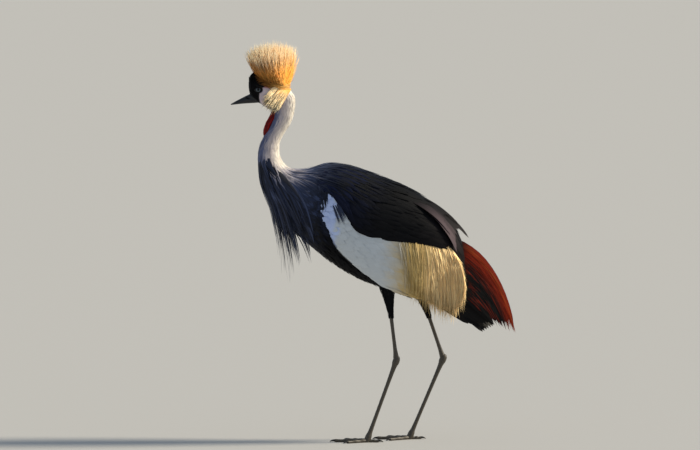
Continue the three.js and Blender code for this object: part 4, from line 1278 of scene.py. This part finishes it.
lines, outs, homes = [], [], []
for k, (knee, hock, ball) in enumerate(LEGS.values()):
    rows = limb_rows(knee, hock, THIGH)

    def thigh_place(s, turn):
        return limb_at(rows, np.clip(s, 0, 5.4), turn)

    s = rng.uniform(0.1, 4.9, THIGH_FEATHERS)
    turn = rng.uniform(-180, 180, THIGH_FEATHERS)
    a = np.linspace(0, 1, 5)
    down = s[:, None] + (26 - 2 * s)[:, None] / 56 * a
    out = -outward(thigh_place, down, turn[:, None])
    middle = rows_at(rows, s)[:, :3]
    facing = np.sign(((thigh_place(s, turn) - middle) * out[:, 0]).sum(-1))
    out = out * facing[:, None, None]
    lines.append(thigh_place(down, turn[:, None]) + out * (-1.5 + 2.6 * a)[:, None])
    outs.append(out)
    homes.append(np.stack([0.3 + 0.08 * k + 0.06 * s / 5, UV_EDGE + UV_GIRTH * (turn + 180) / 360], -1))
thighs = feathers(
    "thigh_coat",
    np.concatenate(lines),
    np.concatenate(outs),
    2.6 * petal(5, 0.5, 0.45, 0.6)[None],
    0.5,
    vary(np.tile(BLACK, (len(LEGS) * THIGH_FEATHERS, 1)), rng, 0.35),
    np.concatenate(homes),
    look=body_look,
)
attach(thighs, "root")

# Wings
# Each folded wing shows white coverts on the flank, straw-coloured plumes that hang over its
# hind end, chestnut secondaries behind them and black primaries underneath.

covert_look = feather_look("covert", 0.8, sheen=0.15, barbs=110, contrast=0.06, depth=0.1, gloss=0.1)
plume_look = feather_look(
    "straw_plume", 0.6, sheen=0.25, sheen_tint=(1, 0.9, 0.7), barbs=40, contrast=0.2, depth=0.15
)
flight_look = feather_look("flight_feather", 0.55, barbs=160, contrast=0.3, depth=0.2, gloss=0.16)
CHESTNUT, RUST_RIM_HIGHLIGHT, SOOT = ink("8C2406"), ink("A84A1C"), ink("0B0807")
TUFT_COUNT, STRAW_COUNT, SECONDARY_COUNT, BARB_COUNT, PRIMARY_COUNT = 16, 2700, 15, 1300, 9
STRAW_POINTS = 8
# Each fan blends two bowed lines, each of a root, a bend and a tip
SECONDARIES = (
    [[120, 7, 522], [298, 12, 510], [356, 20, 280]],
    [[120, 38, 440], [222, 44, 396], [292, 36, 300]],
)
PRIMARIES = ([[96, 30, 440], [214, 34, 392], [306, 26, 288]], [[84, 40, 400], [176, 42, 356], [240, 34, 296]])
SCAPULARS = ([[60, 6, 646], [190, 9, 586], [244, 11, 503]], [[64, 46, 622], [186, 62, 576], [211, 60, 472]])
# The straw plumes' roots and tips in the side view, from the front to the back
STRAW_ROOTS = [[80, 528], [116, 522], [150, 514], [180, 504], [202, 480]]
STRAW_TIPS = [[98, 366], [124, 343], [168, 314], [206, 312], [234, 362]]


def on_fan(lines, sign, a, b, lift):
    """Feathers that stand off a fan, a from root to tip and b across it, and the way they face."""
    first, last = (np.array(line, float) * [1, sign, 1] for line in lines)

    def place(a, b):
        a, b = a[..., None], b[..., None]
        return bowed(a, *first) * (1 - b) + bowed(a, *last) * b

    along = place(a + 0.02, b) - place(a - 0.02, b)
    over = place(a, b + 0.02) - place(a, b - 0.02)
    out = unit(np.cross(along, over))
    out = out * np.where(out[..., 1:2] * sign < 0, -1, 1)
    return place(a, b) + out * lift[..., None], out


def wing_home(across, sign, b, inner=0.05):
    """The place on the unwrap of a feather's root under the wing."""
    return np.stack([across + 0 * b, 0.5 + sign * (inner + 0.1 * b)], -1)


for side, sign in (("left", -1), ("right", 1)):
    rng = np.random.default_rng(53 if sign < 0 else 59)
    t, turn = tiers(
        11.5,
        16.3,
        lambda t: (14, 10),
        lambda t: sign * (mantle_edge(t) - 14),
        lambda t: sign * (wing_at(t)[2] - 7),
        rng,
        flank,
    )
    length = np.interp(t, [11.5, 12.4, 13.2, 16.3], [26, 44, 76, 92]) * rng.uniform(0.92, 1.1, len(t))
    line, out = laid(flank, t, turn, length, 9, 0.8 + 0.7 * rng.random(len(t)), 3, -sign * 4.0)
    tint = straw(line[..., 0], rng.normal(0, 0.25, (len(t), 1))) * rng.uniform(0.96, 1.03, (len(t), 1, 1))
    half = np.interp(t, [11.7, 12.6], [6.5, 10]) * rng.uniform(0.9, 1.1, len(t))
    coverts = feathers(
        "coverts_" + side,
        line,
        out,
        half[:, None] * petal(9, 0.5, 0.55, 0.45),
        0.3,
        tint,
        home_of(t, turn),
        profile=VANE,
        camber=0.05,
        look=covert_look,
        soft=0.95,
    )
    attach(coverts, "root")
    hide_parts("wing_" + side)

    # A dark tuft from under the mantle parts the wrist, white painted blue with shade, from the white behind
    # it
    n = TUFT_COUNT
    t = 12.1 + 0.1 * rng.random(n)
    turn = sign * rng.uniform(66, 73, n)
    line, out = laid(flank, t, turn, 30 + 12 * rng.random(n), 7, 4 + rng.random(n), 1, sign * 13.0)
    tuft = feathers(
        "shoulder_tuft_" + side,
        line,
        out,
        1.5 * petal(7, 0.4, 0.35, 0.8)[None],
        0.4,
        vary(np.tile(blend(HACKLE, BLACK, 0.6), (n, 1)), rng, 0.3),
        home_of(t, turn),
        look=hackle_look,
    )
    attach(tuft, "root")

    # The straw-coloured plumes hang between a line of roots and a line of tips
    n = STRAW_COUNT
    b = rng.random(n) ** 0.8
    ahead = rows_at(STRAW_ROOTS, 4 * b)
    behind = rows_at(STRAW_TIPS, 4 * np.clip(b + rng.normal(0, 0.03, n), 0, 1))
    fall = behind - ahead
    # The front ones stand apart, so the white runs into the gold without an edge
    fringe = 1 - wash(0, 0.2, b)
    ahead[:, 0] -= 34 * fringe * rng.random(n) ** 1.5
    behind[:, 0] -= 30 * fringe * rng.random(n) ** 1.5
    bend = ahead + 0.35 * fall + [15, 8]
    first = rng.random(n) ** 1.2 * 0.62
    last = np.minimum(first + rng.uniform(0.32, 0.6, n), rng.uniform(0.9, 1.06, n))
    a = np.linspace(0, 1, STRAW_POINTS)[None]
    way = (first[:, None] + (last - first)[:, None] * a)[..., None]
    seen = bowed(way, ahead[:, None], bend[:, None], behind[:, None])
    seen = seen + rng.normal(0, 2.6, (n, 1, 2)) * a[..., None]
    seen = seen + rng.normal(0, 3.5, (n, 1, 2)) * a[..., None] ** 3
    # How far out the wing's side lies behind each place, from its nearest points
    wall = flank(*np.meshgrid(np.linspace(12.5, 17, 60), sign * np.linspace(46, 118, 50), indexing="ij"))
    wall = wall.reshape(-1, 3)
    side_out = np.empty((n, STRAW_POINTS))
    for k in range(STRAW_POINTS):
        dx = seen[:, k, 0][:, None] - wall[:, 0]
        dz = seen[:, k, 1][:, None] - wall[:, 2]
        least = 30 + 26 * wash(495, 430, seen[:, k, 1])
        side_out[:, k] = np.maximum(np.abs(wall[np.argmin(dx**2 + dz**2, 1), 1]), least)
    lift = rng.uniform(-2.5, 4.5, (n, 1)) + 2.5 * a - 9 * (1 - wash(0.02, 0.3, way[..., 0]))
    line = np.stack([seen[..., 0], sign * (side_out + lift), seen[..., 1]], -1)
    toward_light = wash(112, 176, line[..., 0])[..., None]
    out = np.array([0.25, sign, 0.2]) + [0.7, 0, 0.5] * toward_light + rng.normal(0, 0.22, (n, 1, 3))
    shade = 1 - 0.2 * wash(395, 335, line[..., 2])
    tint = straw(line[..., 0], rng.normal(0, 0.5, (n, 1)))
    uneven = 1 + rng.uniform(-0.3, 0.35, (n, 1)) * (1 - 0.7 * fringe[:, None])
    straws = feathers(
        "straw_plumes_" + side,
        line,
        unit(out),
        ((0.8 + 1.0 * rng.random(n)) * (1 - 0.45 * fringe))[:, None] * petal(STRAW_POINTS, 0.35, 0.35, 0.8),
        0.4,
        tint * (uneven * shade)[..., None],
        wing_home(0.55 + 0.1 * first, sign, b, 0.2),
        look=plume_look,
        soft=0.8,
    )
    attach(straws, "root")

    # The secondaries overlap, and their chestnut shows at the upper ones only
    n = SECONDARY_COUNT
    b = np.linspace(0, 1, n)
    a = np.linspace(0, 1, 16)[None]
    go_a = a * (1 - 0.06 * rng.random((n, 1)))
    lift = 1.5 * np.sin(a * np.pi) + 0.8 * (np.arange(n) % 2)[:, None]
    line, out = on_fan(SECONDARIES, sign, go_a, b[:, None], lift)
    bright = (1 - wash(0.12, 0.42, b))[:, None]
    flights = feathers(
        "secondaries_" + side,
        line,
        out,
        13 * petal(16, 0.4, 0.5, 0.5)[None],
        0.8,
        blend(SOOT, CHESTNUT, bright * wash(0.3, 0.42, a) * rng.uniform(0.8, 1, (n, 1))),
        wing_home(0.6, sign, b),
        profile=VANE,
        camber=0.14,
        look=flight_look,
    )
    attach(flights, "root")

    # Loose barbs fray the secondaries
    n = BARB_COUNT
    b = rng.random(n) ** 1.2
    start = rng.uniform(0.1, 0.8, n)
    a = np.linspace(0, 1, 7)[None]
    go_a = np.minimum(start[:, None] + rng.uniform(0.12, 0.26, (n, 1)) * a, 1.02)
    go_b = b[:, None] + rng.normal(-0.01, 0.03, (n, 1)) * a
    line, out = on_fan(SECONDARIES, sign, go_a, go_b, rng.uniform(0, 3.5, (n, 1)) + 2 * a)
    bright = 1 - wash(0.08, 0.44, go_b + rng.normal(0, 0.06, (n, 1)))
    bright = np.maximum(bright, 0.55 * (rng.random((n, 1)) < 0.16))
    # The outer rim of the chestnut is painted a lighter rust, as painted highlight where the light from
    # behind catches it
    barb_tint = blend(CHESTNUT, RUST_RIM_HIGHLIGHT, (1 - wash(0, 0.09, go_b)) * rng.random((n, 1)))
    barb_tint = SOOT + (barb_tint - SOOT) * (bright * wash(0.3, 0.42, go_a))[..., None]
    barb_tint = barb_tint * rng.uniform(0.6, 1.25, (n, 1, 1))
    barbs = feathers(
        "secondary_barbs_" + side,
        line,
        out,
        (0.9 + 0.8 * rng.random(n))[:, None] * petal(7, 0.5, 0.3, 0.8),
        0.35,
        barb_tint,
        wing_home(0.6 + 0.06 * start, sign, b),
        look=flight_look,
    )
    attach(barbs, "root")

    # The primaries lie below them
    n = PRIMARY_COUNT
    b = np.linspace(0, 1, n)
    go_a = np.linspace(0, 1, 14) * (1 - 0.08 * rng.random((n, 1)))
    line, out = on_fan(PRIMARIES, sign, go_a, b[:, None], 0.9 * (np.arange(n) % 2)[:, None])
    primaries = feathers(
        "primaries_" + side,
        line,
        out,
        14 * petal(14, 0.4, 0.5, 0.5)[None],
        0.8,
        vary(np.tile(SOOT, (n, 1)), rng, 0.3),
        wing_home(0.66, sign, b),
        profile=VANE,
        camber=0.12,
        look=flight_look,
    )
    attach(primaries, "root")

# Mantle
# Black feathers of the back and the shoulders lie in tiers over both wings like a cape. A blue-black
# sheen in front and a dull purple-brown sheen on the long hind ones are painted into their colour.

INDIGO_SHEEN, UMBER_SHEEN, BLOOM_SHEEN = ink("131930"), ink("1A1416"), ink("5C4E53")
SCAPULAR_COUNT = 46
rng = np.random.default_rng(61)
t, turn = tiers(
    10.3,
    16.0,
    lambda t: (13, 11 + 0.7 * (t - 10)),
    lambda t: 5 - mantle_edge(t),
    lambda t: mantle_edge(t) - 5,
    rng,
    saddle,
)
length = np.interp(t, [10.3, 12, 14, 15, 16], [52, 72, 100, 124, 132]) * rng.uniform(0.88, 1.08, len(t))
line, out = laid(saddle, t, turn, length, 10, 1.6 + 2.4 * rng.random(len(t)), 3, 0.0, mantle_edge)
# Painted sheen: blue-black in front, purple-brown on the hind feathers
front_blue_sheen = blend(INDIGO_SHEEN, BLACK, wash(11, 13, t))
mantle_tint = blend(front_blue_sheen, UMBER_SHEEN, wash(13.6, 15.4, t) * rng.uniform(0.3, 1, len(t)))
mantle_look = feather_look("mantle_feather", 0.6, sheen_tint=(0.7, 0.75, 1), barbs=120, gloss=0.1)
half = np.interp(t, [10.3, 12, 16], [5, 8.5, 10]) * rng.uniform(0.85, 1.15, len(t))
mantle = feathers(
    "mantle_coat",
    line,
    out,
    half[:, None] * petal(10, 0.5, 0.5, 0.6),
    0.4,
    vary(mantle_tint, rng, 0.2),
    home_of(t, turn),
    profile=VANE,
    camber=0.1,
    look=mantle_look,
)
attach(mantle, "root")
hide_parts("mantle")

# The longest shoulder feathers lie over the hind end of the mantle and end in two points
lines, outs, tints, homes = [], [], [], []
n = SCAPULAR_COUNT
a = np.linspace(0, 1, 12)[None]
for sign in (-1, 1):
    # A lower and an upper layer, cut out between their two points
    b = np.tile(np.linspace(0, 1, n // 2), 2) + rng.uniform(-0.02, 0.02, n)
    first = np.repeat([0.28, 0.02], n // 2) + rng.uniform(0, 0.12, n)
    cut = 0.20 * np.sin(np.pi * np.clip(b, 0, 1) ** 0.6) ** 0.7
    last = 1 - cut - rng.uniform(0, 0.05, n) - np.repeat([0, 0.22], n // 2)
    go = first[:, None] + (last - first)[:, None] * a
    high = (np.repeat([1.0, 3.0], n // 2) + rng.random(n))[:, None] - 7 * (1 - a) ** 3
    line, out = on_fan(SCAPULARS, sign, go, b[:, None], high)
    lines.append(line)
    outs.append(out)
    # The paler purple-brown towards the hind tips is painted sheen
    painted_sheen = wash(0.3, 0.9, b + rng.normal(0, 0.08, n))[:, None] * wash(0.15, 0.7, go)
    tints.append(blend(blend(BLACK, UMBER_SHEEN, 0.5 + 0 * go), BLOOM_SHEEN, 0.8 * painted_sheen))
    homes.append(wing_home(0.5 + 0.03 * b, sign, b, 0.06))
scapulars = feathers(
    "scapulars",
    np.concatenate(lines),
    np.concatenate(outs),
    9 * petal(12, 0.5, 0.5, 0.55)[None],
    0.5,
    np.concatenate(tints),
    np.concatenate(homes),
    profile=VANE,
    camber=0.12,
    look=mantle_look,
)
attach(scapulars, "root")

# Tail
# Twelve black tail feathers hang below the folded wings, close together, over a black root.

TAIL = ([[176, 3, 392], [250, 5, 360], [302, 8, 288]], [[176, 22, 366], [232, 30, 328], [276, 34, 276]])
TAIL_HALF = 6
rng = np.random.default_rng(67)
lines, outs = [], []
for sign in (-1, 1):
    # Every second feather lies over its neighbours
    number = np.arange(TAIL_HALF)[:, None]
    across = number / (TAIL_HALF - 1)
    line, out = on_fan(TAIL, sign, np.linspace(0, 1, 14)[None], across, number % 2)
    lines.append(line)
    outs.append(out)
number = np.arange(2 * TAIL_HALF)
tail = feathers(
    "tail_feathers",
    np.concatenate(lines),
    np.concatenate(outs),
    13 * petal(14, 0.4, 0.5, 0.45)[None],
    0.8,
    vary(np.tile(SOOT, (len(number), 1)), rng, 0.3),
    np.stack([0.715 + 0 * number, 0.4 + 0.016 * number], -1),
    profile=VANE,
    camber=0.12,
    look=flight_look,
)
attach(tail, "root")
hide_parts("tail")

# Legs and feet
# Long bare shanks and feet in dark horny skin, with a row of broad plates down the front and
# small round scales elsewhere. Four toes lie flat, and each ends in a blunt curved claw.

SHANK = [(0.6, 4.9, 4.7), (0.75, 4.4, 4.2), (0.9, 5, 4.8), (0.98, 7.4, 7)]
TARSUS = [
    (-0.052, 4, 4),
    (-0.02, 8, 7.6),
    (0.03, 8.6, 8),
    (0.1, 6, 5.6),
    (0.3, 4.8, 4.4),
    (0.7, 4.6, 4.4),
    (0.9, 5.6, 5.8),
    (0.97, 8, 8),
    (1.08, 8, 8.5),
]
# Name, turn from straight ahead, length and thickness
TOES = [("inner", 34, 60, 4.8), ("middle", -4, 82, 5.2), ("outer", -40, 66, 4.8), ("hind", 172, 27, 4.4)]
TOE_PLATE = 3.6
# Past the toe's tip, height and thickness
CLAW = [(-3, 3.4, 3.1), (2, 4.2, 2.8), (6, 4.0, 2.2), (10, 2.8, 1.4), (13, 1.2, 0.5)]
OFF_FLOOR = 0.02
LEG_DARK, LEG_LIGHT, CLAW_HORN = ink("453E34"), ink("6E6555"), ink("1E1B19")


def scaled_limb(name, rows, plates, around):
    """A limb with raised plates along its front, from rows as limb_at takes them."""
    steps = plates * 5
    s, turn = grid(len(rows) - 1, steps, around)
    core = rows_at(rows, s)[..., :3]
    on_front = wash(0.1, 0.7, np.cos(np.radians(turn)))
    plate = (np.linspace(0, plates, steps) % 1)[:, None]
    lip = 0.45 * on_front * (plate**2 - 0.5)
    rings = limb_at(rows, s, turn)
    rings = rings + unit(rings - core) * lip[..., None]
    rings[..., 2] = np.maximum(rings[..., 2], OFF_FLOOR)
    made = tube(name, rings)
    tint_rings(made, blend(LEG_DARK, LEG_LIGHT, 0.6 * on_front * plate + 0.1), LEG_DARK)
    return made


leg_look, leg_shader = paint("leg_scales", (0.1, 0.1, 0.1), 0.45)
leg_place = node(leg_look, "ShaderNodeTexCoord")
small_scales = node(leg_look, "ShaderNodeTexVoronoi", Vector=leg_place.outputs["Object"], Scale=420)
mottle(leg_look, leg_shader, small_scales.outputs[0], 1.25, 0.6, From_Max=0.8)
bump(leg_look, leg_shader, small_scales.outputs[0], -0.5, 0.5)
claw_look = lit("claw_horn", 0.35, strength=0.15, scale=400)

for side, (knee, hock, ball) in LEGS.items():
    sign = np.sign(ball[1])
    upper = limb_rows(knee, hock, SHANK)
    lower = limb_rows(hock, ball, TARSUS)
    made = [scaled_limb("leg_skin_" + side, upper, 18, 24), scaled_limb("tarsus_form", lower, 42, 24)]
    for name, turn, length, thick in TOES:
        heading = np.radians(180 - sign * turn)
        way = np.array([np.cos(heading), np.sin(heading), 0])
        root = np.array([ball[0], ball[1], 0.0])
        rows = []
        for k, share in enumerate((0, 0.22, 0.4, 0.6, 0.78, 1)):
            size = thick * (1 - 0.26 * share) * (1.12 if k % 2 else 0.94)
            rows.append([*(root + way * length * share)[:2], size * 0.84, size, size])
        made.append(scaled_limb("toe_form", rows, max(int(length / TOE_PLATE), 6), 20))
        tip = root + way * length
        claw_rows = [[*(tip + way * past)[:2], high, size, size * 0.9] for past, high, size in CLAW]
        rings = limb_at(claw_rows, *grid(len(CLAW) - 1, 24, 16))
        rings[..., 2] = np.maximum(rings[..., 2], OFF_FLOOR)
        claw = tube("claw_horn_" + side + "_" + name, rings)
        tint_all(claw, CLAW_HORN)
        claw.data.materials.append(claw_look)
        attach(claw, "root")
        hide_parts("claw_" + side + "_" + name)
    leg = made[0]
    bpy.ops.object.select_all(action="DESELECT")
    for form in made:
        form.select_set(True)
    bpy.context.view_layer.objects.active = leg
    bpy.ops.object.join()
    leg.data.materials.append(leg_look)
    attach(leg, "root")
    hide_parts("shank_" + side, "tarsus_" + side, *("toe_" + side + "_" + toe[0] for toe in TOES))
